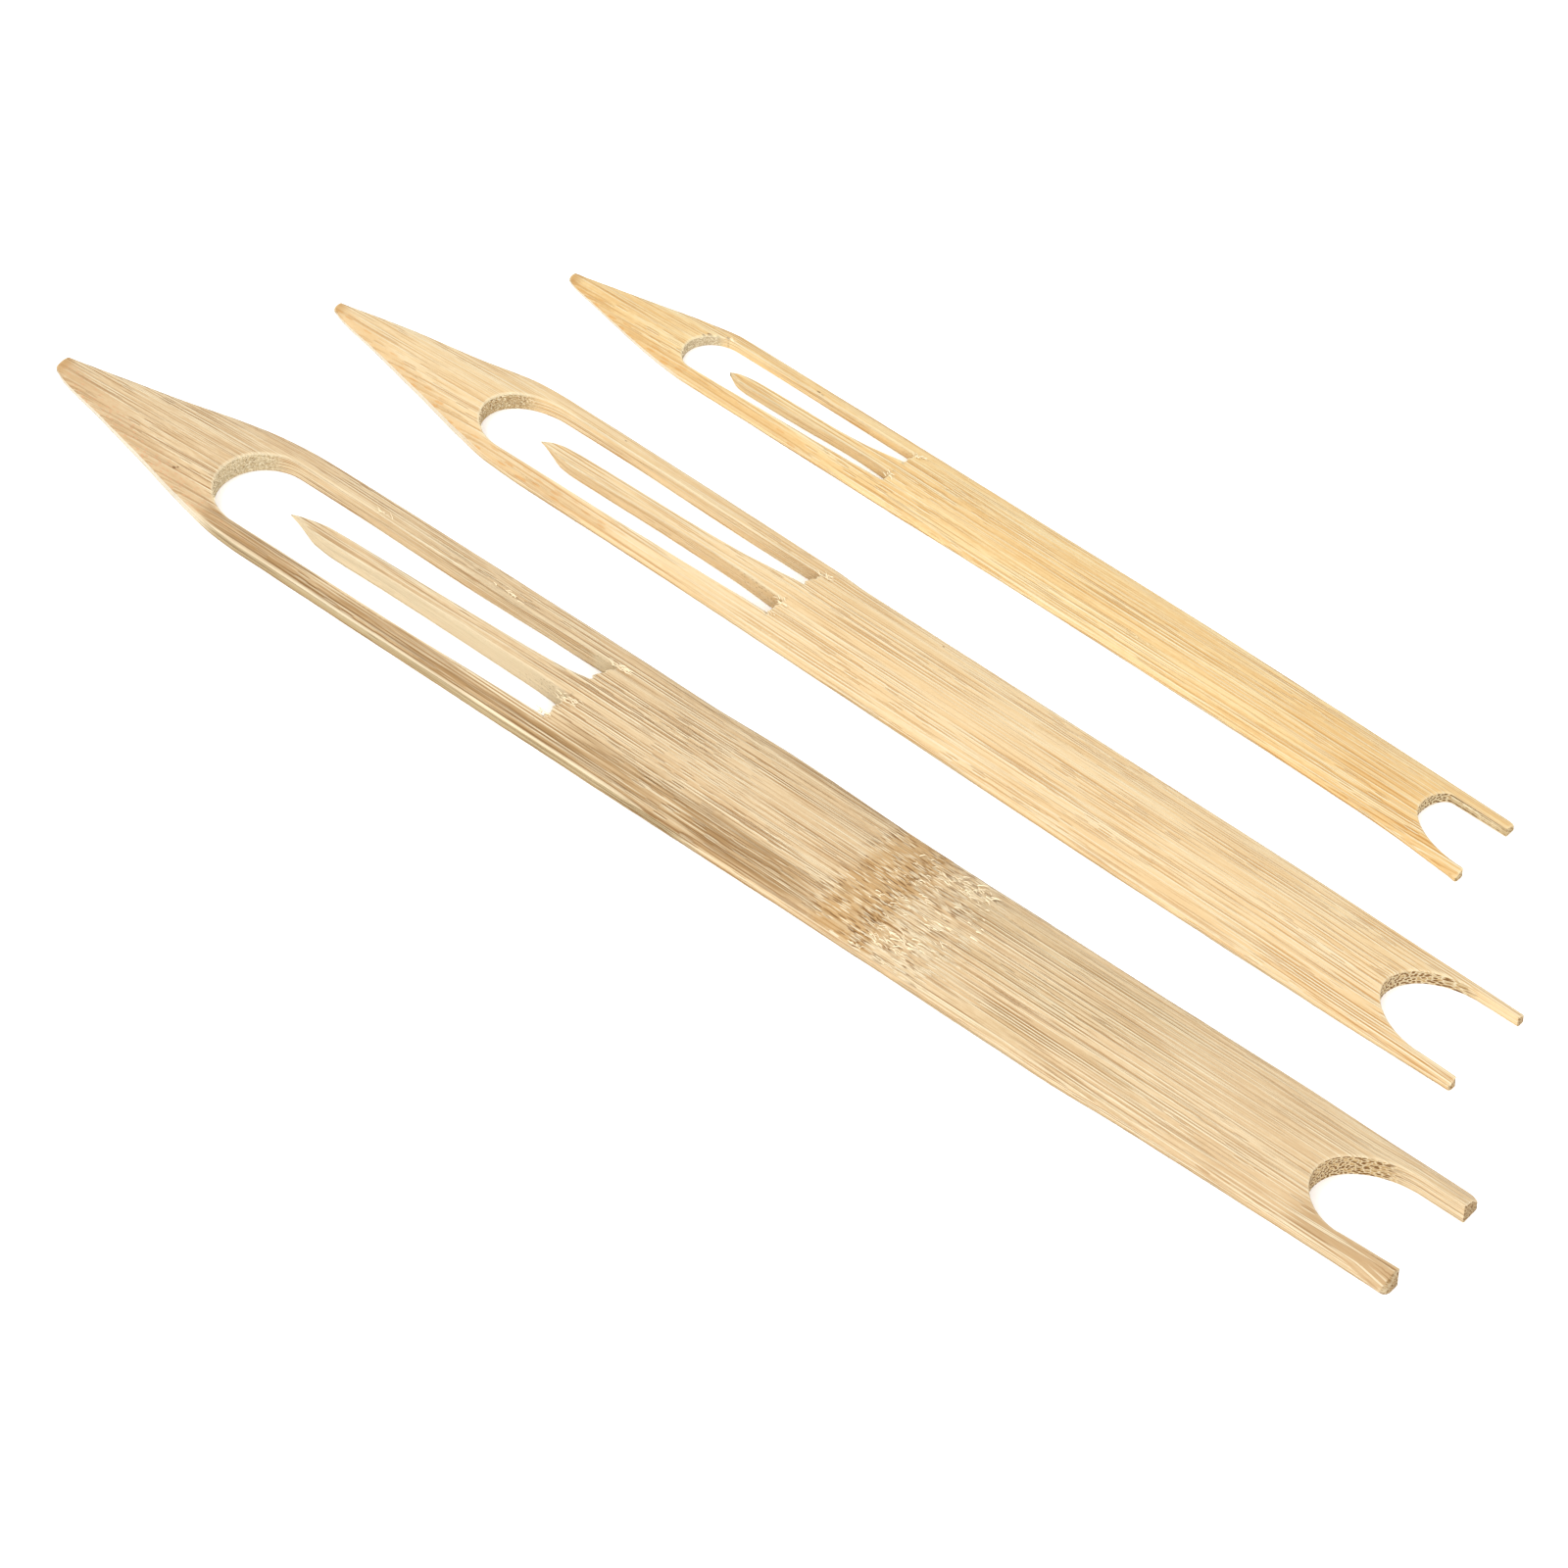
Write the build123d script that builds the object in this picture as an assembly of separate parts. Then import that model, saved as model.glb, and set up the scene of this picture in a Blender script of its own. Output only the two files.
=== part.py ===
from build123d import *
from math import radians, sqrt, tan
import os

# A set of three bamboo netting needles of graduated size, laid side by side.
#
# Each needle is one flat piece of bamboo: a blunt point, an eye with a tongue standing in
# it, a long blade and a forked heel. Twine is wound round the tongue and through the fork.
# The tongue bends at its root to let the twine pass, so it is a solid of its own. It meets
# the rest of the needle along one line across its root, and it swings about that line.
#
# A needle is drawn in a frame of its own: x runs from the tip to the heel, y is 0 on the
# axis and positive towards the far side, and z is 0 on the flat underside.

# Lengths are in millimetres, with one value for each needle of the set.
SIZES = ("large", "medium", "small")

# The outline: the tip, the two shoulders, the blade and the heel
LENGTH = {"large": 220.0, "medium": 188.0, "small": 150.2}
TIP_WIDTH = {"large": 2.4, "medium": 1.3, "small": 1.3}
TIP_OFFSET = {"large": 0.3, "medium": 0.4, "small": -0.8}
TIP_FACET_LENGTH = {"large": 2.2, "medium": 1.6, "small": 1.1}
TIP_FACET_DEPTH = {"large": 0.5, "medium": 0.3, "small": 0.3}
FAR_SHOULDER = {"large": 36.0, "medium": 32.0, "small": 24.5}
SHOULDER_SKEW = {"large": 1.0, "medium": 2.0, "small": -2.0}
BLADE_FAR = {"large": 9.35, "medium": 7.25, "small": 5.7}
BLADE_NEAR = {"large": 9.2, "medium": 7.4, "small": 5.25}
HEEL_RUN = {"large": 62.0, "medium": 30.0, "small": 13.0}
HEEL_FAR = {"large": 9.15, "medium": 7.35, "small": 5.2}
HEEL_NEAR = {"large": 8.0, "medium": 7.05, "small": 6.4}
CORNER_RADIUS = {"large": 0.5, "medium": 0.3, "small": 0.3}

# The height of the long edges, and how far the crown of the back rises above them
TIP_EDGE = {"large": 0.9, "medium": 0.8, "small": 0.7}
TIP_CROWN = {"large": 0.3, "medium": 0.2, "small": 0.2}
BLADE_EDGE = {"large": 1.9, "medium": 1.6, "small": 1.1}
BLADE_CROWN = {"large": 2.0, "medium": 1.7, "small": 1.1}
HEEL_EDGE = {"large": 1.8, "medium": 1.2, "small": 1.0}
HEEL_CROWN = {"large": 2.0, "medium": 1.3, "small": 1.0}

# The eye: where it starts ahead of the far shoulder, its rails and its round end
EYE_LEAD = {"large": 5.2, "medium": 3.7, "small": 3.9}
EYE_LENGTH = {"large": 59.8, "medium": 51.7, "small": 35.2}
FAR_RAIL = {"large": 3.9, "medium": 2.55, "small": 2.35}
FAR_RAIL_END = {"large": 3.7, "medium": 2.5, "small": 2.25}
NEAR_RAIL = {"large": 2.25, "medium": 2.0, "small": 1.5}
NEAR_RAIL_END = {"large": 3.1, "medium": 2.95, "small": 2.55}
EYE_FAR_RUN = {"large": 7.0, "medium": 8.8, "small": 5.0}
EYE_NEAR_RUN = {"large": 6.8, "medium": 5.8, "small": 2.8}
EYE_CROWN_OFFSET = {"large": -0.45, "medium": -0.65, "small": -0.6}

# The tongue: its gap to the round end, its width, and how far off the eye's middle it is
TONGUE_GAP = {"large": 11.6, "medium": 9.3, "small": 7.4}
TONGUE_WIDTH = {"large": 2.35, "medium": 2.5, "small": 1.75}
TONGUE_ROOT_WIDTH = {"large": 2.55, "medium": 2.4, "small": 1.65}
TONGUE_OFFSET = {"large": -0.1, "medium": -0.1, "small": -0.2}
TONGUE_ROOT_OFFSET = {"large": -0.4, "medium": -0.55, "small": -0.45}
TONGUE_FAR_RUN = {"large": 5.8, "medium": 8.0, "small": 4.6}
TONGUE_NEAR_RUN = {"large": 8.6, "medium": 5.0, "small": 3.5}
TONGUE_POINT_OFFSET = {"large": -0.4, "medium": -0.3, "small": -0.6}
FLARE_RUN = {"large": 8.6, "medium": 9.0, "small": 7.0}
FLARE_FAR = {"large": 0.75, "medium": 0.9, "small": 0.8}
FLARE_NEAR = {"large": 0.4, "medium": 0.45, "small": 0.4}
TONGUE_TIP_HEIGHT = {"large": 2.5, "medium": 2.0, "small": 1.6}
TONGUE_TIP_EDGE = {"large": 0.7, "medium": 0.6, "small": 0.9}
TONGUE_BEVEL_RUN = {"large": 4.5, "medium": 4.0, "small": 1.8}

# The fork: its depth, its two prongs and its round end
FORK_DEPTH = {"large": 16.1, "medium": 14.7, "small": 10.1}
FAR_PRONG = {"large": 2.95, "medium": 1.35, "small": 1.8}
NEAR_PRONG = {"large": 2.1, "medium": 1.25, "small": 1.5}
NEAR_PRONG_SHORTER = {"large": 0.5, "medium": 0.2, "small": 0.2}
FORK_FAR_RUN = {"large": 10.6, "medium": 9.6, "small": 2.2}
FORK_NEAR_RUN = {"large": 7.2, "medium": 9.0, "small": 9.4}
FORK_CROWN_OFFSET = {"large": -0.85, "medium": -0.5, "small": 0.55}

# How each needle lies beside the next larger one: clear of it, further back and turned
GAP_TO_LARGER = {"large": 0, "medium": 14.05, "small": 12.9}
STEP_BACK = {"large": 0, "medium": 19.9, "small": 19.6}
TURN_DEG = {"large": 0, "medium": -1.0, "small": -1.2}

# How far the tongue swings either way, and the play that its root has beyond that
TONGUE_SWING_DEG = 4.0
SWING_MARGIN_DEG = 1.0

# How far a cut runs past the face that it opens
OVERRUN = 2.0

# The weight of the middle point that makes a curve a quarter of an ellipse
QUARTER_ELLIPSE_SHARE = sqrt(0.5)


def quarter_ellipse(start, corner, end):
    """A quarter of an ellipse that leaves start towards corner and comes into end from corner."""
    return Bezier(start, corner, end, weights=[1, QUARTER_ELLIPSE_SHARE, 1])


def crowned_section(far, near, edge, crown):
    """A slice across a needle: flat underneath, upright edges and a rounded back."""
    (far_x, far_y), (near_x, near_y) = far, near
    top = ((far_x + near_x) / 2, (far_y + near_y) / 2, edge + crown)
    walls = Polyline((near_x, near_y, edge), (near_x, near_y, 0), (far_x, far_y, 0), (far_x, far_y, edge))
    back = ThreePointArc((far_x, far_y, edge), top, (near_x, near_y, edge))
    return make_face(walls + back)


def near_shoulder(size):
    return FAR_SHOULDER[size] + SHOULDER_SKEW[size]


def tip_far_corner(size):
    return TIP_OFFSET[size] + TIP_WIDTH[size] / 2


def tip_near_corner(size):
    """The near corner that the tip would have without its facet."""
    return TIP_OFFSET[size] - TIP_WIDTH[size] / 2 - TIP_FACET_DEPTH[size]


def blank(size):
    """The whole strip of bamboo, tapered at both ends, before anything is cut out of it."""
    heel_start = LENGTH[size] - HEEL_RUN[size]
    sections = [
        crowned_section((0, tip_far_corner(size)), (0, tip_near_corner(size)), TIP_EDGE[size], TIP_CROWN[size]),
        crowned_section((FAR_SHOULDER[size], BLADE_FAR[size]), (near_shoulder(size), -BLADE_NEAR[size]),
                        BLADE_EDGE[size], BLADE_CROWN[size]),
        crowned_section((heel_start, BLADE_FAR[size]), (heel_start, -BLADE_NEAR[size]),
                        BLADE_EDGE[size], BLADE_CROWN[size]),
        crowned_section((LENGTH[size], HEEL_FAR[size]), (LENGTH[size], -HEEL_NEAR[size]),
                        HEEL_EDGE[size], HEEL_CROWN[size]),
    ]
    return loft(sections, ruled=True)


def blade_height(size):
    return BLADE_EDGE[size] + BLADE_CROWN[size]


def upright(size, face):
    """A prism on face that reaches past the needle above and below."""
    return extrude(Pos(0, 0, -OVERRUN) * face, blade_height(size) + 2 * OVERRUN)


def arched_gap(crown, far_side, far_end, near_end, near_side):
    """A gap with a round end towards the tip, made of two quarters of an ellipse."""
    outline = quarter_ellipse(crown, (crown[0], far_side[1]), far_side)
    outline += Polyline(far_side, far_end, near_end, near_side)
    outline += quarter_ellipse(near_side, (crown[0], near_side[1]), crown)
    return make_face(outline)


def eye_start(size):
    return FAR_SHOULDER[size] - EYE_LEAD[size]


def eye_end(size):
    return eye_start(size) + EYE_LENGTH[size]


def eye_sides(size):
    """The far and the near side of the eye, next to its round end."""
    return BLADE_FAR[size] - FAR_RAIL[size], NEAR_RAIL[size] - BLADE_NEAR[size]


def eye_end_sides(size):
    """The far and the near side of the eye, at the root of the tongue."""
    return BLADE_FAR[size] - FAR_RAIL_END[size], NEAR_RAIL_END[size] - BLADE_NEAR[size]


def middle(sides):
    return sum(sides) / 2


def eye(size):
    """The eye with the slots on both sides of the tongue, as one opening."""
    far, near = eye_sides(size)
    far_end, near_end = eye_end_sides(size)
    return arched_gap((eye_start(size), middle((far, near)) + EYE_CROWN_OFFSET[size]),
                      (eye_start(size) + EYE_FAR_RUN[size], far),
                      (eye_end(size), far_end),
                      (eye_end(size), near_end),
                      (eye_start(size) + EYE_NEAR_RUN[size], near))


def fork(size):
    """The gap between the two prongs, which is open at the heel."""
    start = LENGTH[size] - FORK_DEPTH[size]
    end = LENGTH[size] + FORK_FAR_RUN[size] + FORK_NEAR_RUN[size]
    far = HEEL_FAR[size] - FAR_PRONG[size]
    near = NEAR_PRONG[size] - HEEL_NEAR[size]
    return arched_gap((start, middle((far, near)) + FORK_CROWN_OFFSET[size]),
                      (start + FORK_FAR_RUN[size], far),
                      (end, far),
                      (end, near),
                      (start + FORK_NEAR_RUN[size], near))


def tip_facet(size):
    """The corner that is cut off the near side of the tip."""
    side_slope = (tip_near_corner(size) + BLADE_NEAR[size]) / near_shoulder(size)
    facet_slope = side_slope + TIP_FACET_DEPTH[size] / TIP_FACET_LENGTH[size]
    at_tip = tip_near_corner(size) + TIP_FACET_DEPTH[size]
    reach = TIP_FACET_LENGTH[size] + OVERRUN
    start = (-OVERRUN, at_tip + OVERRUN * facet_slope)
    end = (reach, at_tip - reach * facet_slope)
    return make_face(Polyline(start, end, (start[0], end[1]), close=True))


def near_prong_end(size):
    """What is sawn off the near prong, which ends short of the far one."""
    start = LENGTH[size] - NEAR_PRONG_SHORTER[size]
    end = LENGTH[size] + OVERRUN
    low = -HEEL_NEAR[size] - OVERRUN
    return make_face(Polyline((start, 0), (end, 0), (end, low), (start, low), close=True))


def needle(size):
    """One needle without its tongue, with softened corners at the tip and the prongs."""
    cuts = [eye(size), fork(size), tip_facet(size), near_prong_end(size)]
    body = blank(size) - [upright(size, face) for face in cuts]
    corners = body.edges().filter_by(Axis.Z).sort_by(Axis.X)
    return fillet(corners[:3] + corners[-4:], CORNER_RADIUS[size])


def tongue_outline(size):
    """The tongue from above: a leaf-shaped point, nearly straight sides and a flared root."""
    start = eye_start(size) + TONGUE_GAP[size]
    end = eye_end(size)
    axis = middle(eye_sides(size)) + TONGUE_OFFSET[size]
    root_axis = middle(eye_end_sides(size)) + TONGUE_ROOT_OFFSET[size]
    point = (start, axis + TONGUE_POINT_OFFSET[size])
    far = (start + TONGUE_FAR_RUN[size], axis + TONGUE_WIDTH[size] / 2)
    near = (start + TONGUE_NEAR_RUN[size], axis - TONGUE_WIDTH[size] / 2)
    far_flare = (end - FLARE_RUN[size], root_axis + TONGUE_ROOT_WIDTH[size] / 2)
    near_flare = (end - FLARE_RUN[size], root_axis - TONGUE_ROOT_WIDTH[size] / 2)
    far_root = (end, far_flare[1] + FLARE_FAR[size])
    near_root = (end, near_flare[1] - FLARE_NEAR[size])
    outline = TangentArc(far, point, tangent=(-1, 0)) + TangentArc(near, point, tangent=(-1, 0))
    outline += Line(far, far_flare) + Line(near, near_flare)
    outline += TangentArc(far_flare, far_root, tangent=(1, 0)) + TangentArc(near_flare, near_root, tangent=(1, 0))
    return make_face(outline + Line(far_root, near_root))


def tongue_side(size):
    """The tongue from the side: bevelled under its point, with a root that touches on one line."""
    start = eye_start(size) + TONGUE_GAP[size]
    end = eye_end(size)
    height = blade_height(size)
    relief = height / 2 * tan(radians(TONGUE_SWING_DEG + SWING_MARGIN_DEG))
    face = make_face(Polyline(
        (start, TONGUE_TIP_HEIGHT[size] - TONGUE_TIP_EDGE[size]),
        (start + TONGUE_BEVEL_RUN[size], 0),
        (end - relief, 0),
        (end, height / 2),
        (end - relief, height),
        (start, TONGUE_TIP_HEIGHT[size]),
        close=True,
    ))
    return extrude(Plane.XZ * face, BLADE_NEAR[size], both=True)


def tongue(size):
    """The tongue, cut from the same strip as the needle that it belongs to."""
    return blank(size) & upright(size, tongue_outline(size)) & tongue_side(size)


def places():
    """Where each needle lies, from the largest, which lies along x with its tip at the origin."""
    x, y = 0, 0
    found = {}
    larger = None
    for size in SIZES:
        x += STEP_BACK[size]
        if larger:
            y += BLADE_FAR[larger] + GAP_TO_LARGER[size] + BLADE_NEAR[size]
        found[size] = Pos(x, y, 0) * Rot(0, 0, TURN_DEG[size])
        larger = size
    return found


def main():
    """Builds the set with its origin under the middle of it, and writes one file per piece."""
    pieces = {}
    for size, place in places().items():
        pieces[size + "_needle"] = place * needle(size)
        pieces[size + "_tongue"] = place * tongue(size)
    whole = Compound(children=[Compound(piece.solids()) for piece in pieces.values()]).bounding_box()
    to_origin = Pos(-whole.center().X, -whole.center().Y, -whole.min.Z)
    os.makedirs("parts", exist_ok=True)
    for name, piece in pieces.items():
        export_step(to_origin * piece, "parts/" + name + ".step")


main()
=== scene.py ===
import math

import bpy
import numpy as np
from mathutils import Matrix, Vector
from mathutils.geometry import delaunay_2d_cdt


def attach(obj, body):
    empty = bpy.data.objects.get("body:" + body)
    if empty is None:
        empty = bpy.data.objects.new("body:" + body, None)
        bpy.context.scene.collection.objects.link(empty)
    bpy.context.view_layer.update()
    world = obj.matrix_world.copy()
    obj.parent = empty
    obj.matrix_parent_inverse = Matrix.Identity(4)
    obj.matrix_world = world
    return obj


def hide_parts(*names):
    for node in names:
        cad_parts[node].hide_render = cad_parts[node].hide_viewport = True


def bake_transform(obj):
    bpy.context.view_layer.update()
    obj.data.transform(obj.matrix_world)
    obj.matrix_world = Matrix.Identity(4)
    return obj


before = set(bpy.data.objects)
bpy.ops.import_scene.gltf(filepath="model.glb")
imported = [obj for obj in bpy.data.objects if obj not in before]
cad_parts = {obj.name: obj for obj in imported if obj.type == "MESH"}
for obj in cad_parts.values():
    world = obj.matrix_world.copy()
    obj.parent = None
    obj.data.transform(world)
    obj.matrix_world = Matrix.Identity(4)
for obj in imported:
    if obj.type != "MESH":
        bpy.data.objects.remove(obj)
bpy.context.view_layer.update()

# A set of three bamboo netting needles that lie side by side.
#
# Each needle is drawn in a frame of its own, in millimetres: x runs from the tip to the heel,
# y is 0 on the axis and positive towards the far side, and z is 0 on the flat underside.
# The fibres run along x, so every grain pattern is read from these coordinates.

SIZES = ("large", "medium", "small")
METRES = 0.001


def by_size(large, medium, small):
    """One value or table for each needle."""
    return {"large": large, "medium": medium, "small": small}


# Where the tip of each needle lies in the row frame, and how far the needle is turned there
TIP_PLACE = by_size((-110.0, -26.0928), (-90.1, 4.7072), (-70.5, 30.1072))
TURN_DEG = by_size(0.0, -1.0, -1.2)

# Each outline, as (x, y) stations along the far and the near edge from the tip to the heel
FAR_EDGE = by_size(
    [(0, 1.5), (16, 4.95), (32.9, 8.55), (39.4, 9.05), (60, 9.3), (90, 9.4), (103, 9.3), (117, 9.6),
     (140, 9.1), (170, 9.1), (195, 9.3), (208, 9.15), (220, 9.1)],
    [(0, 1.05), (10.9, 3.45), (21, 5.15), (31.1, 7.05), (36, 7.27), (61, 7.42), (81, 7.35), (86, 7.1),
     (130, 7.2), (160, 7.3), (188, 7.3)],
    [(0, -0.15), (10.7, 2.3), (20.7, 4.6), (25.5, 5.3), (40, 5.42), (60, 5.6), (80, 5.7), (100, 5.8),
     (115, 5.68), (130, 5.5), (150.2, 5.2)],
)
NEAR_EDGE = by_size(
    [(0, -0.9), (2.2, -1.85), (10, -3.4), (20, -5.6), (30, -7.9), (36, -8.95), (41, -9.17), (75, -9.15),
     (100, -9.1), (140, -8.85), (170, -8.9), (180, -8.55), (200, -8.15), (219.5, -7.95)],
    [(0, -0.35), (1.6, -0.95), (10, -2.45), (20, -4.5), (28, -6.2), (34, -7.15), (40, -7.35), (60, -7.2),
     (90, -7.3), (135, -7.55), (160, -7.45), (180, -7.2), (187.8, -7.0)],
    [(0, -1.45), (1.1, -1.95), (5, -2.7), (10, -3.6), (15, -4.5), (20, -5.2), (23.5, -5.45), (30, -5.4),
     (60, -5.25), (80, -5.0), (115, -5.05), (130, -5.2), (140, -5.5), (145, -5.9), (150.0, -6.35)],
)
LENGTH = {size: FAR_EDGE[size][-1][0] for size in SIZES}
TIP_CORNER = by_size(0.35, 0.25, 0.25)
PRONG_CORNER = by_size(1.1, 0.5, 0.45)

# The height of the long edges and of the crown of the back above them, as (x, height) stations
EDGE_HEIGHT = by_size(
    [(0, 0.9), (36, 1.9), (158, 1.9), (220, 1.8)],
    [(0, 0.8), (32, 1.6), (158, 1.6), (188, 1.2)],
    [(0, 0.7), (24, 1.1), (137, 1.1), (150.2, 1.0)],
)
CROWN_HEIGHT = by_size(
    [(0, 0.3), (36, 1.95), (158, 1.95), (220, 1.95)],
    [(0, 0.2), (32, 1.65), (158, 1.65), (188, 1.3)],
    [(0, 0.2), (24, 1.06), (137, 1.06), (150.2, 1.0)],
)

# The eye: its round end, its sides from there to the tongue's root, and where the root joins on
EYE_START = by_size(30.8, 28.3, 20.6)
EYE_CROWN = by_size(-1.2, -1.0, -0.8)
EYE_FAR = by_size(
    [(37.8, 5.45), (50, 5.5), (65, 5.35), (80, 5.55), (91.6, 5.65)],
    [(37.1, 4.7), (50, 4.8), (66, 4.65), (80.5, 4.75)],
    [(25.6, 3.35), (38, 3.45), (56.1, 3.45)],
)
EYE_NEAR = by_size(
    [(37.6, -6.95), (50, -6.8), (65, -6.65), (80, -6.3), (90.0, -6.1)],
    [(34.1, -5.4), (50, -5.15), (66, -4.8), (79.6, -4.45)],
    [(23.4, -3.75), (38, -3.3), (55.4, -2.7)],
)
ROOT_X = by_size(90.6, 80.0, 55.8)

# The tongue from above, from its point to its root, and its point from the side
TONGUE_FAR = by_size(
    [(42.4, -1.15), (43.6, -0.72), (46, -0.1), (48.4, 0.25), (60, 0.4), (74, 0.6), (80, 0.7), (85, 0.88),
     (88, 1.12), (90.6, 1.55)],
    [(37.6, -0.9), (39.4, 0.0), (41.5, 0.42), (45, 0.58), (60, 0.62), (70, 0.85), (75, 1.25),
     (80.0, 1.75)],
    [(28.0, -1.0), (29.6, -0.3), (32.6, 0.05), (45, 0.2), (50, 0.5), (55.8, 1.4)],
)
TONGUE_NEAR = by_size(
    [(42.4, -1.15), (44, -1.3), (46.5, -1.68), (50.5, -2.0), (60, -1.85), (75, -1.8), (85, -1.9),
     (90.6, -2.25)],
    [(37.6, -0.9), (39, -1.05), (41.5, -1.55), (44, -1.78), (50, -1.7), (60, -1.55), (70, -1.58),
     (80.0, -2.0)],
    [(28.0, -1.0), (29.4, -1.42), (31.5, -1.62), (40, -1.45), (50, -1.1), (55.8, -1.3)],
)
TONGUE_POINT_TOP = by_size(2.45, 1.95, 1.6)
TONGUE_POINT_BOTTOM = by_size(1.85, 1.5, 0.8)
TONGUE_BEVEL_RUN = by_size(4.5, 4.0, 1.8)

# No loose fibre rises above this height
ROOF = by_size(3.88, 3.4, 2.4)

# The fork: its round end and its two inner sides, which run out at the ends of the prongs
FORK_START = by_size(203.9, 173.3, 140.1)
FORK_CROWN = by_size(-0.7, -0.4, -0.2)
FORK_FAR = by_size(
    [(214.5, 6.2), (220, 6.2)],
    [(182.9, 6.0), (188, 6.05)],
    [(142.3, 3.4), (150.2, 3.45)],
)
FORK_NEAR = by_size(
    [(211.1, -5.85), (215.5, -5.75), (219.5, -5.6)],
    [(182.3, -5.8), (187.8, -5.8)],
    [(149.5, -4.85), (150.0, -4.9)],
)

# How much each kind of edge is rounded over, and how uneven the knife left it
OUTER_EDGE = 0.32
CUT_EDGE = 0.2
END_EDGE = 0.16
UNDER_EDGE = 0.12
INNER_CORNER = 0.15
SLOT_TEAR = 0.3
OUTER_WOBBLE = 0.05
CUT_WOBBLE = 0.035
ARCH_WOBBLE = 0.03

# How closely the surfaces are divided
LONG_STEP = 0.7
ARCH_STEP = 0.26
END_STEP = 0.22
GRID_ALONG = 0.9
GRID_ACROSS = 0.33
UNDER_ALONG = 5.0
UNDER_ACROSS = 1.6
WALL_STEP = 0.3
BACK_RINGS = (0.04, 0.13, 0.32)
UNDER_RINGS = (0.12,)

# The stretch about the cane's joint that is divided more closely
NODE_ZONE = (136.5, 153.5)
NODE_ALONG = 0.42
NODE_ACROSS = 0.2

# Splits along the fibres, as (first x, last x, y)
FISSURES = by_size(
    [(104.5, 111.5, -5.6), (107.0, 116.5, -4.9), (109.0, 118.0, -4.1), (99.0, 107.0, 1.2),
     (100.5, 110.5, 1.9), (103.0, 112.0, 2.7), (104.0, 111.0, 3.4), (120.5, 127.0, -3.2),
     (122.0, 128.5, -2.3), (147.5, 159.5, -6.4), (149.0, 163.5, -4.2), (151.0, 166.0, -3.7),
     (152.0, 163.0, -3.1), (150.0, 158.5, 5.6), (154.0, 164.0, 0.4), (146.0, 153.0, 7.2),
     (120.0, 126.5, 6.6), (112.0, 119.0, 7.1), (57.5, 66.0, 7.3), (66.0, 73.0, 6.9), (70.0, 76.0, 6.3)],
    [(22.5, 29.0, -4.9), (35.0, 45.0, -6.7), (78.0, 86.0, -6.6), (116.0, 122.0, 3.1)],
    [(46.0, 51.0, -3.6), (62.0, 70.0, 1.4), (95.0, 101.0, -2.2)],
)
FISSURE_HALF_WIDTH = 0.1
FISSURE_DEPTH = 0.12

# Where the knife left loose fibres, as (x, y, spread along, spread across, how many, length)
TUFTS = by_size(
    [(91.8, 5.75, 1.3, 0.45, 26, 1.1), (90.9, -2.7, 1.2, 0.7, 24, 0.9), (89.8, -5.9, 0.8, 0.3, 10, 0.9),
     (141.8, -3.5, 1.2, 3.6, 14, 1.2), (145.0, -6.2, 2.6, 1.2, 46, 1.3), (147.0, 6.3, 3.0, 1.4, 46, 1.3),
     (141.8, -8.6, 0.8, 0.15, 9, 0.7), (146.8, -8.6, 0.7, 0.15, 7, 0.8), (143.0, 4.5, 2.0, 2.0, 16, 1.0),
     (73.0, 6.1, 2.2, 0.3, 12, 1.2), (52.0, 5.9, 1.5, 0.25, 8, 0.9), (143.6, 0.6, 1.6, 3.2, 24, 1.0),
     (150.0, 2.2, 3.0, 3.2, 24, 1.1), (139.9, 2.0, 0.8, 5.0, 16, 0.7), (148.5, -3.0, 3.0, 2.5, 20, 1.1)],
    [(80.7, 4.85, 0.9, 0.35, 18, 0.8), (80.1, -2.3, 0.8, 0.5, 16, 0.7), (80.0, -4.4, 0.5, 0.2, 6, 0.6)],
    [(56.3, 3.45, 0.8, 0.3, 15, 0.7), (56.0, -1.7, 0.8, 0.4, 14, 0.6), (24.6, 3.5, 0.5, 0.3, 7, 0.6)],
)
FIBRE_WIDTH = 0.15
ARCH_FUZZ = by_size(150, 70, 12)

# The outer corners of the prongs' ends: the edge, its height there, and the rise inwards and backwards
CORNERS = by_size(
    [(NEAR_EDGE["large"], -0.1, 1.75, 0.3), (FAR_EDGE["large"], 1.1, 1.2, 0.7)],
    [(NEAR_EDGE["medium"], 0.5, 1.3, 1.3), (FAR_EDGE["medium"], 2.6, 1.3, 0.6)],
    [(NEAR_EDGE["small"], 0.5, 1.2, 1.0), (FAR_EDGE["small"], 0.6, 1.1, 0.8)],
)

# How deep the ridges of the fibres are, how far the heel's shoulders stand up, and how far before
# the end they start and are full
FIBRE_RELIEF = by_size(0.035, 0.022, 0.022)
SHOULDER = by_size(0.45, 0.25, 0.1)
SQUARE_HEEL = (16, 5)

# The seeds of what is random on a piece
OUTER_SEED, EYE_SEED, TONGUE_SEED = 51, 53, 55
TUFT_SEED, FUZZ_SEED = 61, 62
FAR_TEAR_SEED, NEAR_TEAR_SEED = 71, 72

# The patterns of unevenness: how far apart their waves are along, across and up, and their seed
TORN_WAVES = (50.0, 0.45)
LONG_WAVES = (5.0, 2.2)
SHORT_WAVES = (1.1, 0.5)
BROAD_RIDGES = ((60.0, 1.7), 11)
FINE_RIDGES = ((26.0, 0.7), 12)
NODE_START = ((1e6, 0.5), 21)
NODE_TEETH = ((1.6, 0.42), 23)
NODE_CHIPS = ((2.6, 0.5), 22)
CHIPPED_START = ((5.0, 2.4), 24)
WALL_FIBRES = ((6.0, 0.8, 0.5), 31)
WALL_GRAIN = ((0.7, 0.45, 0.45), 32)
WALL_DEPTH = 0.07

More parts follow.
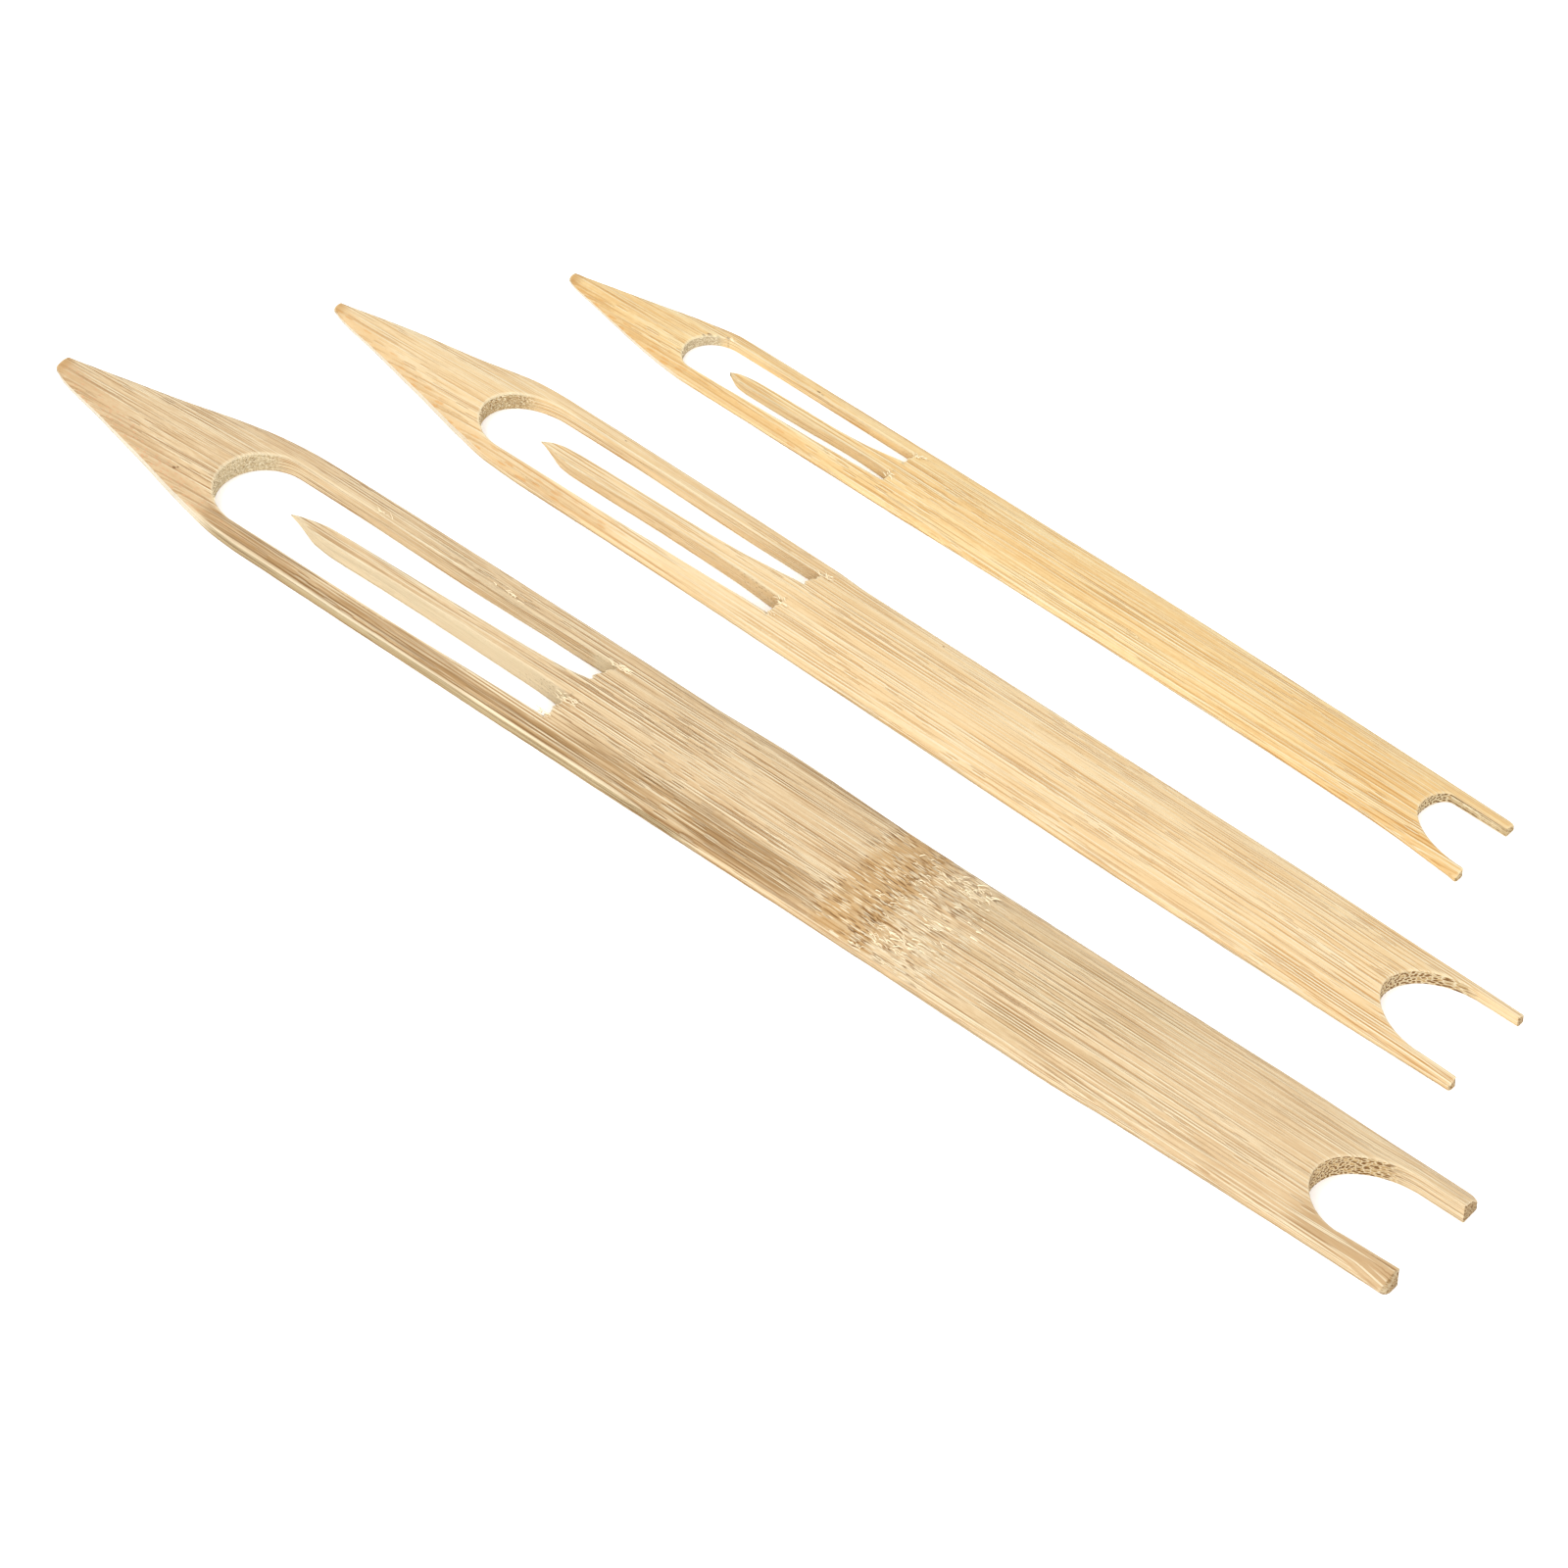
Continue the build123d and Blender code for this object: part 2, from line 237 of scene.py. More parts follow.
# Where the cane's joint crosses the large needle, a little askew, and how deep its step and chips are
NODE_X = 141.5
NODE_SLANT = 0.01
NODE_RAGGED = 1.1
NODE_STEP = 0.15
NODE_STEP_WIDTH = 0.8
CHIPPED_PART = (141.5, 148.5, 4.5)
CHIPPED_RAGGED = 1.6
CHIP_DEPTH = 0.08

# How far the small flecks reach in from the near edge of the tip, and along it
FLECK_REACH = by_size(3.2, 1.7, 1.5)
FLECK_STOP = by_size(46, 52, 40)

# Edge distances are kept as shares of this, which is more than a needle's width
EDGE_REACH = 20.0

# How many random values the noise holds, and how many places are measured at once
TABLE_SIZE = 4096
BATCH = 2000

# The kind of triangulation, which covers all, and how near to each other two points are one
ALL_TRIANGLES = 0
SAME_POINT = 1e-7

# What a face is: part of the planed back or underside, of a cut wall, or of a loose fibre
PLANED, CUT_WALL, LOOSE = 0, 1, 2

# Edges between faces that meet at more than this stay sharp
SHARP_DEG = 50


def hashed(cell, seed):
    """A fixed random number between 0 and 1 for each whole-number cell."""
    keys = cell.astype(np.int64)
    mixed = keys[:, 0] * 73856093 ^ keys[:, 1] * 19349663 ^ keys[:, 2] * 83492791
    table = np.random.default_rng(seed).random(TABLE_SIZE)
    return table[mixed % TABLE_SIZE]


def value_noise(points, wavelength, seed):
    """Smooth noise between -1 and 1, with its own wavelength along x, y and z."""
    scaled = np.asarray(points, float) / np.asarray(wavelength, float)
    base = np.floor(scaled)
    part = scaled - base
    part = part * part * (3 - 2 * part)
    total = np.zeros(len(scaled))
    for corner in range(8):
        step = np.array([corner & 1, corner >> 1 & 1, corner >> 2 & 1])
        share = np.prod(np.where(step, part, 1 - part), axis=1)
        total += share * hashed(base + step, seed)
    return 2 * total - 1


def flat_noise(spots, wavelength, seed):
    """The same for spots seen from above."""
    return value_noise(np.column_stack([spots, np.zeros(len(spots))]), (*wavelength, 1.0), seed)


def smooth_through(stations, x):
    """A smooth curve through the stations that never overshoots them."""
    px, py = np.array(stations, float).T
    x = np.asarray(x, float)
    run = np.diff(px)
    slope = np.diff(py) / run
    tangent = np.concatenate([slope[:1], np.zeros(len(slope) - 1), slope[-1:]])
    for i in range(1, len(slope)):
        if slope[i - 1] * slope[i] > 0:
            ahead = 2 * run[i] + run[i - 1]
            behind = run[i] + 2 * run[i - 1]
            tangent[i] = (ahead + behind) / (ahead / slope[i - 1] + behind / slope[i])
    at = np.clip(np.searchsorted(px, x) - 1, 0, len(run) - 1)
    t = (x - px[at]) / run[at]
    first = py[at] * (1 + 2 * t) * (1 - t) ** 2 + tangent[at] * run[at] * t * (1 - t) ** 2
    second = py[at + 1] * t * t * (3 - 2 * t) + tangent[at + 1] * run[at] * t * t * (t - 1)
    return first + second


def smooth_step(low, high, value):
    t = np.clip((np.asarray(value, float) - low) / (high - low), 0, 1)
    return t * t * (3 - 2 * t)


def bump_between(low, high, soft, value):
    """1 between low and high, falling to 0 over soft on both sides."""
    return smooth_step(low - soft, low, value) * (1 - smooth_step(high, high + soft, value))


def near_edge(size, x):
    """The near edge at each x. It ends a little before the far edge does."""
    return smooth_through(NEAR_EDGE[size], np.minimum(x, NEAR_EDGE[size][-1][0]))


class Loop:
    """A closed outline seen from above. Each point carries the rounding of the edge after it."""

    def __init__(self):
        self.points = []
        self.edges = []
        self.wobble = []
        self.seams = []

    def add(self, run, edge, wobble, seam=False):
        """Adds a run of points. Its last point is left to the next run, which starts there."""
        for point in run[:-1]:
            self.points.append(tuple(point))
            self.edges.append(edge)
            self.wobble.append(wobble)
            self.seams.append(seam)

    def closed(self):
        return (np.array(self.points), np.array(self.edges), np.array(self.wobble), np.array(self.seams))


def along(stations, step, back=False):
    """Points on the smooth curve through the stations, evenly spaced along x."""
    low, high = stations[0][0], stations[-1][0]
    count = max(2, round((high - low) / step) + 1)
    x = np.linspace(low, high, count)
    points = np.column_stack([x, smooth_through(stations, x)])
    return points[::-1] if back else points


def straight(start, end, step):
    start, end = np.array(start, float), np.array(end, float)
    count = max(2, round(np.linalg.norm(end - start) / step) + 1)
    return start + (end - start) * np.linspace(0, 1, count)[:, None]


def quarter_arch(crown, side, step):
    """A quarter of an ellipse from the crown of a round end to where its side starts."""
    run, rise = side[0] - crown[0], side[1] - crown[1]
    count = max(6, round(1.1 * math.hypot(run, rise) / step))
    angle = np.linspace(0, math.pi / 2, count)
    return np.column_stack([crown[0] + run * (1 - np.cos(angle)), crown[1] + rise * np.sin(angle)])


def soften(first, second, radius):
    """Rounds the corner between two runs. Returns the first run trimmed, and the second with the round."""
    corner = np.array(second[0], float)
    kept = [p for p in first[:-1] if np.linalg.norm(p - corner) > radius]
    rest = [p for p in second[1:] if np.linalg.norm(p - corner) > radius]
    start = corner + radius * (kept[-1] - corner) / np.linalg.norm(kept[-1] - corner)
    end = corner + radius * (rest[0] - corner) / np.linalg.norm(rest[0] - corner)
    share = np.linspace(0, 1, 6)[:, None]
    arc = start * (1 - share) ** 2 + corner * 2 * share * (1 - share) + end * share ** 2
    return np.vstack([kept, start]), np.vstack([arc, rest])


def torn(start, end, step, seed):
    """A straight run that is torn unevenly along the fibres."""
    run = straight(start, end, step)
    run[1:-1, 0] += (SLOT_TEAR * flat_noise(run, TORN_WAVES, seed))[1:-1]
    return run


def outer_loop(size):
    """The outside of a needle with its fork, from the near corner of the tip round to the start."""
    far_end, near_end = FORK_FAR[size][-1], FORK_NEAR[size][-1]
    crown = (FORK_START[size], FORK_CROWN[size])
    near = along(NEAR_EDGE[size], LONG_STEP)
    near_prong_end = straight(near[-1], near_end, END_STEP)
    inner_near = along(FORK_NEAR[size], LONG_STEP, back=True)
    arch_near = quarter_arch(crown, FORK_NEAR[size][0], ARCH_STEP)[::-1]
    arch_far = quarter_arch(crown, FORK_FAR[size][0], ARCH_STEP)
    inner_far = along(FORK_FAR[size], LONG_STEP)
    far_prong_end = straight(far_end, FAR_EDGE[size][-1], END_STEP)
    far = along(FAR_EDGE[size], LONG_STEP, back=True)
    tip = straight(far[-1], near[0], END_STEP)

    near, near_prong_end = soften(near, near_prong_end, PRONG_CORNER[size])
    near_prong_end, inner_near = soften(near_prong_end, inner_near, INNER_CORNER)
    inner_far, far_prong_end = soften(inner_far, far_prong_end, INNER_CORNER)
    far_prong_end, far = soften(far_prong_end, far, TIP_CORNER[size])
    far, tip = soften(far, tip, TIP_CORNER[size])
    loop = Loop()
    loop.add(near, OUTER_EDGE, OUTER_WOBBLE)
    loop.add(near_prong_end, END_EDGE, 0)
    loop.add(inner_near, CUT_EDGE, 0)
    loop.add(arch_near, CUT_EDGE, ARCH_WOBBLE)
    loop.add(arch_far, CUT_EDGE, ARCH_WOBBLE)
    loop.add(inner_far, CUT_EDGE, 0)
    loop.add(far_prong_end, END_EDGE, 0)
    loop.add(far, OUTER_EDGE, OUTER_WOBBLE)
    loop.add(tip, END_EDGE, 0)
    return loop.closed()


def root_ends(size):
    """The far and the near end of the line where the tongue's root joins the blade."""
    return TONGUE_FAR[size][-1], TONGUE_NEAR[size][-1]


def root_line(size):
    far, near = root_ends(size)
    return straight(far, near, END_STEP * 2)


def eye_loop(size):
    """The eye's edge, run through so that the bamboo is on the same side as on the outer loop."""
    crown = (EYE_START[size], EYE_CROWN[size])
    far_root, near_root = root_ends(size)
    loop = Loop()
    loop.add(quarter_arch(crown, EYE_FAR[size][0], ARCH_STEP), CUT_EDGE, ARCH_WOBBLE)
    loop.add(along(EYE_FAR[size], LONG_STEP), CUT_EDGE, CUT_WOBBLE)
    loop.add(torn(EYE_FAR[size][-1], far_root, 0.5 * END_STEP, FAR_TEAR_SEED), CUT_EDGE, 0)
    loop.add(root_line(size), 0, 0, seam=True)
    loop.add(torn(near_root, EYE_NEAR[size][-1], 0.5 * END_STEP, NEAR_TEAR_SEED), CUT_EDGE, 0)
    loop.add(along(EYE_NEAR[size], LONG_STEP, back=True), CUT_EDGE, CUT_WOBBLE)
    loop.add(quarter_arch(crown, EYE_NEAR[size][0], ARCH_STEP)[::-1], CUT_EDGE, ARCH_WOBBLE)
    return loop.closed()


def tongue_loop(size):
    near = along(TONGUE_NEAR[size], LONG_STEP * 0.7)
    far = along(TONGUE_FAR[size], LONG_STEP * 0.7, back=True)
    loop = Loop()
    loop.add(near, CUT_EDGE, CUT_WOBBLE)
    loop.add(root_line(size)[::-1], 0, 0, seam=True)
    loop.add(far, CUT_EDGE, CUT_WOBBLE)
    return loop.closed()


def plan_normals(points):
    """The direction, seen from above, that points away from the bamboo at each point of a loop."""
    ahead = np.roll(points, -1, axis=0) - points
    behind = points - np.roll(points, 1, axis=0)
    ahead /= np.linalg.norm(ahead, axis=1)[:, None]
    behind /= np.linalg.norm(behind, axis=1)[:, None]
    both = ahead + behind
    both /= np.linalg.norm(both, axis=1)[:, None]
    return np.column_stack([both[:, 1], -both[:, 0]])


def uneven(loop, seed):
    """Moves the points of a loop in or out a little, as a knife leaves them."""
    points, edges, wobble, seams = loop
    shift = np.zeros(len(points))
    shift += (1 + flat_noise(points, LONG_WAVES, seed)) * wobble * 0.6
    shift += (1 + flat_noise(points, SHORT_WAVES, seed + 1)) * wobble * 0.3
    calm = wobble == 0
    shift[calm | np.roll(calm, 1) | np.roll(calm, -1)] = 0
    inwards = -plan_normals(points)
    return points + inwards * shift[:, None], edges, seams


def to_segments(loops):
    starts = np.vstack([points for points, _, _ in loops])
    ends = np.vstack([np.roll(points, -1, axis=0) for points, _, _ in loops])
    edges = np.concatenate([edges for _, edges, _ in loops])
    return starts, ends, edges


def edge_drop(spots, loops, scale=1.0, only=None):
    """How far each spot sinks because an edge beside it is rounded over, and how far off the edge is."""
    starts, ends, edges = to_segments(loops)
    if only is not None:
        starts, ends, edges = starts[edges == only], ends[edges == only], edges[edges == only]
    if len(starts) == 0:
        return np.zeros(len(spots)), np.full(len(spots), np.inf)
    runs = ends - starts
    drop = np.zeros(len(spots))
    nearest = np.full(len(spots), np.inf)
    for begin in range(0, len(spots), BATCH):
        part = spots[begin:begin + BATCH, None, :] - starts[None]
        share = np.clip((part * runs).sum(2) / (runs ** 2).sum(1), 0, 1)
        gap = np.linalg.norm(part - share[..., None] * runs, axis=2)
        radius = np.maximum(edges * scale, 1e-9)
        beyond = np.clip(radius - gap, 0, None)
        sunk = radius - np.sqrt(np.clip(radius ** 2 - beyond ** 2, 0, None))
        drop[begin:begin + BATCH] = sunk.max(1)
        nearest[begin:begin + BATCH] = gap.min(1)
    return drop, nearest


def inside(spots, loops):
    """True for each spot that is on the bamboo: within the outline and not in a hole."""
    starts, ends, _ = to_segments(loops)
    hits = np.zeros(len(spots), int)
    for begin in range(0, len(spots), BATCH):
        px, py = spots[begin:begin + BATCH, 0, None], spots[begin:begin + BATCH, 1, None]
        spans = (starts[:, 1] > py) != (ends[:, 1] > py)
        rise = np.where(ends[:, 1] == starts[:, 1], 1, ends[:, 1] - starts[:, 1])
        cross = starts[:, 0] + (py - starts[:, 1]) / rise * (ends[:, 0] - starts[:, 0])
        hits[begin:begin + BATCH] = (spans & (px < cross)).sum(1)
    return hits % 2 == 1


def fissure_points(size):
    """Rows of points beside and in each split, so that the mesh has its shape."""
    rows = []
    for first, last, centre in FISSURES[size]:
        x = np.arange(first, last + 0.3, 0.6)
        for side in (-1, 0, 1):
            rows.append(np.column_stack([x, np.full(len(x), centre + side * FISSURE_HALF_WIDTH)]))
    return np.vstack(rows)


def grid_points(low, high, spacing):
    """An even grid of points in which every other row is shifted by half a step."""
    grid_x = np.arange(low[0], high[0], spacing[0])
    grid_y = np.arange(math.floor(low[1] / spacing[1]) * spacing[1], high[1], spacing[1])
    return np.array([(x + 0.5 * spacing[0] * (row % 2), y) for row, y in enumerate(grid_y) for x in grid_x])


def fill_points(loops, rings, spacing, splits=None, fine_zone=None):
    """Points for the inside of an outline: rings close along its edges, and an even grid between."""
    found, ring_of = [], []
    for points, edges, _ in loops:
        inwards = -plan_normals(points)
        for ring in rings:
            found.append((points + inwards * ring)[edges > 0])
            ring_of += [ring] * len(found[-1])
    found, ring_of = np.vstack(found), np.array(ring_of)
    _, gap = edge_drop(found, loops)
    found = found[(gap > 0.8 * ring_of) & inside(found, loops)]
    corners = np.vstack([points for points, _, _ in loops])
    low, high = corners.min(0), corners.max(0)
    grid = grid_points(low, high, spacing)
    if splits is not None:
        beside = np.abs(grid[:, None, :] - splits[None]).astype(np.float32)
        near = (beside[..., 0] < 0.5 * spacing[0]) & (beside[..., 1] < 0.35 * spacing[1])
        grid = np.vstack([grid[~near.any(1)], splits])
    if fine_zone is not None:
        first, last = fine_zone
        outside = (grid[:, 0] < first - 0.3) | (grid[:, 0] > last + 0.3)
        fine = grid_points((first, low[1]), (last, high[1]), (NODE_ALONG, NODE_ACROSS))
        grid = np.vstack([grid[outside], fine])
    grid = grid[inside(grid, loops)]
    _, gap = edge_drop(grid, loops)
    return np.vstack([found, grid[gap > rings[-1] + 0.45 * spacing[1]]])


def filled(loops, extra):
    """Triangles that fill the outline. The points of the loops come first, in their order."""
    corners = np.vstack([points for points, _, _ in loops])
    edges = []
    first = 0
    for points, _, _ in loops:
        count = len(points)
        edges += [(first + i, first + (i + 1) % count) for i in range(count)]
        first += count
    spots = np.vstack([corners, extra])
    flat = [Vector(spot) for spot in spots]
    made, _, faces, origin, _, _ = delaunay_2d_cdt(flat, edges, [], ALL_TRIANGLES, SAME_POINT, True)
    new_index = np.full(len(spots), -1)
    for index, sources in enumerate(origin):
        for source in sources:
            new_index[source] = index
    places = np.array([tuple(spot) for spot in made])
    faces = np.array(faces)
    middles = places[faces].mean(1)
    return places, faces[inside(middles, loops)], new_index[:len(corners)]


class Piece:
    """Points and faces of one piece of bamboo, and what the knife did to each of them."""

    def __init__(self):
        self.points = np.zeros((0, 3))
        self.zones = np.zeros((0, 4))
        self.faces = []
        self.kinds = []

    def add_points(self, points, end=0.0, rim=0.0, low=0.0, bright=0.0):
        """Adds points with their zones: end grain, painted far-rim shade, lowness on a wall, and painted rim
        highlight.
        """
        first = len(self.points)
        zones = np.column_stack([np.broadcast_to(zone, len(points)) for zone in (end, rim, low, bright)])
        self.points = np.vstack([self.points, points])
        self.zones = np.vstack([self.zones, zones])
        return first

    def add_fibre(self, path, width):
        """A loose fibre: a thin flat spike along the path, with its foot in the bamboo."""
        path = np.asarray(path, float)
        first = len(self.points)
        count = len(path)
        rings = []
        for step in range(count - 1):
            ahead = path[step + 1] - path[step]
            ahead /= np.linalg.norm(ahead)
            side = np.cross(ahead, (0.13, 0.2, 0.97))
            side /= np.linalg.norm(side)
            other = np.cross(ahead, side)
            radius = 0.5 * width * (1 - step / count)
            for turn in np.arange(3) * math.tau / 3:
                rings.append(path[step] + radius * (math.cos(turn) * side + 0.6 * math.sin(turn) * other))
        # The full bright-rim zone marks a loose fibre, which the material draws paler
        self.add_points(np.vstack([rings, path[-1]]), bright=1.0)
        faces = [(first, first + 1, first + 2)]
        for step in range(count - 2):
            for turn in range(3):
                a, b = first + 3 * step + turn, first + 3 * step + (turn + 1) % 3
                faces.append((a, a + 3, b + 3, b))
        tip = first + 3 * (count - 1)
        last = tip - 3
        faces += [(last + turn, tip, last + (turn + 1) % 3) for turn in range(3)]
        self.add_faces(faces, LOOSE)

    def add_faces(self, faces, kind):
        self.faces += [tuple(int(i) for i in face) for face in faces]
        self.kinds += [kind] * len(faces)


def crowned_back(size, spots):
    """The height of the rounded back at each spot."""
    x, y = spots[:, 0], spots[:, 1]
    far = smooth_through(FAR_EDGE[size], x)
    near = near_edge(size, x)
    half = (far - near) / 2
    across = np.clip((y - (far + near) / 2) / half, -1, 1)
    edge = np.interp(x, *np.array(EDGE_HEIGHT[size]).T)
    crown = np.interp(x, *np.array(CROWN_HEIGHT[size]).T)
    bend = (half ** 2 + crown ** 2) / (2 * crown)
    arc = np.sqrt(bend ** 2 - (across * half) ** 2) - (bend - crown)
    square = smooth_step(-SQUARE_HEEL[0], -SQUARE_HEEL[1], x - LENGTH[size])
    return edge + arc + SHOULDER[size] * square * bump_between(0.5, 0.85, 0.15, np.abs(across))


def fibre_relief(size, spots):
    """The shallow ridges that the fibres leave on the planed back. Never above 0."""
    both = 0.5 * flat_noise(spots, *BROAD_RIDGES) + 0.5 * flat_noise(spots, *FINE_RIDGES)
    return FIBRE_RELIEF[size] * (both - 1)


def fissure_relief(size, spots):
    """The splits along the fibres, each a narrow groove that fades out at both ends."""
    x, y = spots.T
    depth = np.zeros(len(spots))
    for first, last, centre in FISSURES[size]:
        across = np.clip(1 - np.abs(y - centre) / FISSURE_HALF_WIDTH, 0, 1)
        depth = np.maximum(depth, across * bump_between(first + 1, last - 1, 1.2, x))
    return -FISSURE_DEPTH * depth


def node_relief(size, spots):
    """The cane's joint on the large needle: a ragged step, and chips after it."""
    if size != "large":
        return np.zeros(len(spots))
    x, y = spots.T
    start = NODE_X + NODE_SLANT * y + NODE_RAGGED * flat_noise(spots, *NODE_START)
    teeth = smooth_step(-0.2, 0.3, flat_noise(spots, *NODE_TEETH))
    step = NODE_STEP * np.exp(-((x - start) / NODE_STEP_WIDTH) ** 2) * teeth
    chips = smooth_step(-0.15, 0.2, flat_noise(spots, *NODE_CHIPS))
    chipped = bump_between(*CHIPPED_PART, x + CHIPPED_RAGGED * flat_noise(spots, *CHIPPED_START))
    return -step - CHIP_DEPTH * chipped * chips


def whittled(size, spots, height):
    """Takes the outer corners off the ends of the prongs."""
    x, y = spots.T
    lost = np.zeros(len(x))
    for side, low, across, back in CORNERS[size]:
        edge = side[-1][1]
        inwards = np.abs(y - edge) * np.where((y > 0) == (edge > 0), 1, 50)
        plane = low + across * inwards + back * (LENGTH[size] - x)
        lost = np.maximum(lost, height - plane)
    return np.maximum(height - lost, 0.3)


def back_height(size, spots):
    carved = fibre_relief(size, spots) + node_relief(size, spots) + fissure_relief(size, spots)
    return whittled(size, spots, crowned_back(size, spots) + carved)


def flat_underside(size, spots):
    return np.zeros(len(spots))


def tongue_back(size, spots):
    """The tongue's back, which is pared down from the root towards the point."""
    start, root = TONGUE_FAR[size][0][0], ROOT_X[size]
    whole = back_height(size, spots)
    at_root = EDGE_HEIGHT[size][1][1] + CROWN_HEIGHT[size][1][1]
    share = (spots[:, 0] - start) / (root - start)
    pared = TONGUE_POINT_TOP[size] + (at_root - TONGUE_POINT_TOP[size]) * share
    return np.minimum(whole, pared + fibre_relief(size, spots))


def tongue_underside(size, spots):
    start = TONGUE_FAR[size][0][0]
    left = np.clip(1 - (spots[:, 0] - start) / TONGUE_BEVEL_RUN[size], 0, 1)
    return TONGUE_POINT_BOTTOM[size] * left


def build_piece(size, loops, top, under):
    """A closed mesh between a back and an underside, with rough upright walls along the loops."""
    piece = Piece()
    fine_zone = NODE_ZONE if size == "large" and len(loops) > 1 else None
    spacing = (GRID_ALONG, GRID_ACROSS)
    extra = fill_points(loops, BACK_RINGS, spacing, fissure_points(size), fine_zone)
    spots, faces, rim = filled(loops, extra)
    drop, _ = edge_drop(spots, loops)
    _, to_outer = edge_drop(spots, loops, only=OUTER_EDGE)
    _, to_end = edge_drop(spots, loops, only=END_EDGE)
    _, to_cut = edge_drop(spots, loops, only=CUT_EDGE)
    # Painted shade along the outer edge on the far side, and a painted highlight along the cut and end edges
    far_side = spots[:, 1] > 0.5
    bright = 1 - smooth_step(0.05, 0.3, np.minimum(to_end, to_cut))
    back = piece.add_points(np.column_stack([spots, top(size, spots) - drop]),
                            rim=(1 - smooth_step(0.03, 0.28, to_outer)) * far_side, bright=bright)
    piece.add_faces(upwards(spots, faces) + back, PLANED)
    top_rim = rim + back

    spots, faces, rim = filled(loops, fill_points(loops, UNDER_RINGS, (UNDER_ALONG, UNDER_ACROSS)))
    drop, _ = edge_drop(spots, loops, UNDER_EDGE / OUTER_EDGE)
    bottom = piece.add_points(np.column_stack([spots, under(size, spots) + drop]), low=1.0)
    piece.add_faces(upwards(spots, faces)[:, ::-1] + bottom, PLANED)
    under_rim = rim + bottom

    first = 0
    for points, _, seams in loops:
        part = slice(first, first + len(points))
        add_wall(piece, top_rim[part], under_rim[part], plan_normals(points), seams)
        first += len(points)
    return piece


def upwards(spots, faces):
    """The same triangles, each turned so that it faces up."""
    a, b, c = spots[faces[:, 0]], spots[faces[:, 1]], spots[faces[:, 2]]
    area = (b[:, 0] - a[:, 0]) * (c[:, 1] - a[:, 1]) - (b[:, 1] - a[:, 1]) * (c[:, 0] - a[:, 0])
    return np.where((area < 0)[:, None], faces[:, ::-1], faces)


def add_wall(piece, top_rim, under_rim, outwards, seams):
    """Joins a rim of the back to the same rim of the underside by a rough upright wall."""
    count = len(top_rim)
    top, under = piece.points[top_rim], piece.points[under_rim]
    height = (top[:, 2] - under[:, 2]).max()
    rows = max(3, round(height / WALL_STEP))
    end = np.abs(outwards[:, 0])
    piece.zones[top_rim, 0] = end
    piece.zones[under_rim, 0] = end
    near_seam = seams | np.roll(seams, 1)
    above = top_rim
    for row in range(1, rows + 1):
        if row < rows:
            share = row / rows
            spots = top * (1 - share) + under * share
            rough = value_noise(spots, *WALL_FIBRES) * (1 - end) * 0.5
            rough += value_noise(spots, *WALL_GRAIN) * end
            depth = WALL_DEPTH * (rough - 1) * 0.5 * math.sin(math.pi * share) ** 0.5
            depth[near_seam] = 0
            spots[:, :2] += outwards * depth[:, None]
            below = piece.add_points(spots, end, low=share) + np.arange(count)
        else:
            below = under_rim
        faces = [(above[i], below[i], below[(i + 1) % count], above[(i + 1) % count]) for i in range(count)]
        piece.add_faces(faces, CUT_WALL)
        above = below


def loose_path(start, heading, length, rise, curl):
    """The line of a loose fibre, which leaves the surface, bends aside and drops back a little."""
    share = np.linspace(0, 1, 6)[:, None]
    along_it = np.array([math.cos(heading), math.sin(heading), 0])
    aside = np.array([-math.sin(heading), math.cos(heading), 0])
    up = np.array([0, 0, 1.0])
    return start + along_it * length * share + aside * curl * share ** 2 + up * rise * np.sin(2.2 * share)


def add_tufts(piece, size, seed):
    """Loose fibres at the ends of the slots and where the cane's joint was planed off."""
    random = np.random.default_rng(seed)
    for x, y, along_it, across, count, length in TUFTS[size]:
        spots_x = x + along_it * random.uniform(-1, 1, count)
        spots = np.column_stack([spots_x, y + across * random.uniform(-1, 1, count)])
        heights = back_height(size, spots)
        for spot, height in zip(spots, heights):
            start = np.array([spot[0], spot[1], height - 0.03])
            heading = random.normal(0, 0.2) + (math.pi if random.random() < 0.4 else 0)
            reach = length * random.uniform(0.4, 1.2)
            room = max(0.0, ROOF[size] - height)
            rise = min(random.uniform(0.08, 0.4), room)
            path = loose_path(start, heading, reach, rise, random.normal(0, 0.07))
            path[:, 2] = np.minimum(path[:, 2], ROOF[size])
            piece.add_fibre(path, FIBRE_WIDTH * random.uniform(0.6, 1.7))


def add_arch_fuzz(piece, size, seed):
    """Short torn ends of fibres that stand out of the round end of the eye."""
    random = np.random.default_rng(seed)
    crown = (EYE_START[size], EYE_CROWN[size])
    for _ in range(ARCH_FUZZ[size]):
        side = EYE_FAR[size][0] if random.random() < 0.55 else EYE_NEAR[size][0]
        angle = random.uniform(0, 1.0)
        x = crown[0] + (side[0] - crown[0]) * (1 - math.cos(angle))
        y = crown[1] + (side[1] - crown[1]) * math.sin(angle)
        top = back_height(size, np.array([(x, y)]))[0]
        start = np.array([x - 0.05, y, top * random.uniform(0.55, 0.97) - 0.02])
        heading, length = random.normal(0, 0.5), random.uniform(0.12, 0.34)
        path = loose_path(start, heading, length, random.uniform(-0.05, 0.12), 0.05)
        piece.add_fibre(path, FIBRE_WIDTH * random.uniform(0.5, 1.0))


def to_row(size, points):
    """Needle coordinates in millimetres to the row frame in metres."""
    turn = math.radians(TURN_DEG[size])
    x, y, z = points.T
    row_x = TIP_PLACE[size][0] + x * math.cos(turn) - y * math.sin(turn)
    row_y = TIP_PLACE[size][1] + x * math.sin(turn) + y * math.cos(turn)
    return np.column_stack([row_x, row_y, z]) * METRES


def edge_distances(size, points):
    """How far each point is from the near and from the far edge, as the first two parts of a colour."""
    x, y, _ = points.T
    from_far = smooth_through(FAR_EDGE[size], x) - y
    found = np.zeros((len(x), 4))
    found[:, :2] = np.column_stack([y - near_edge(size, x), from_far]) / EDGE_REACH
    return np.clip(found, 0, 1)


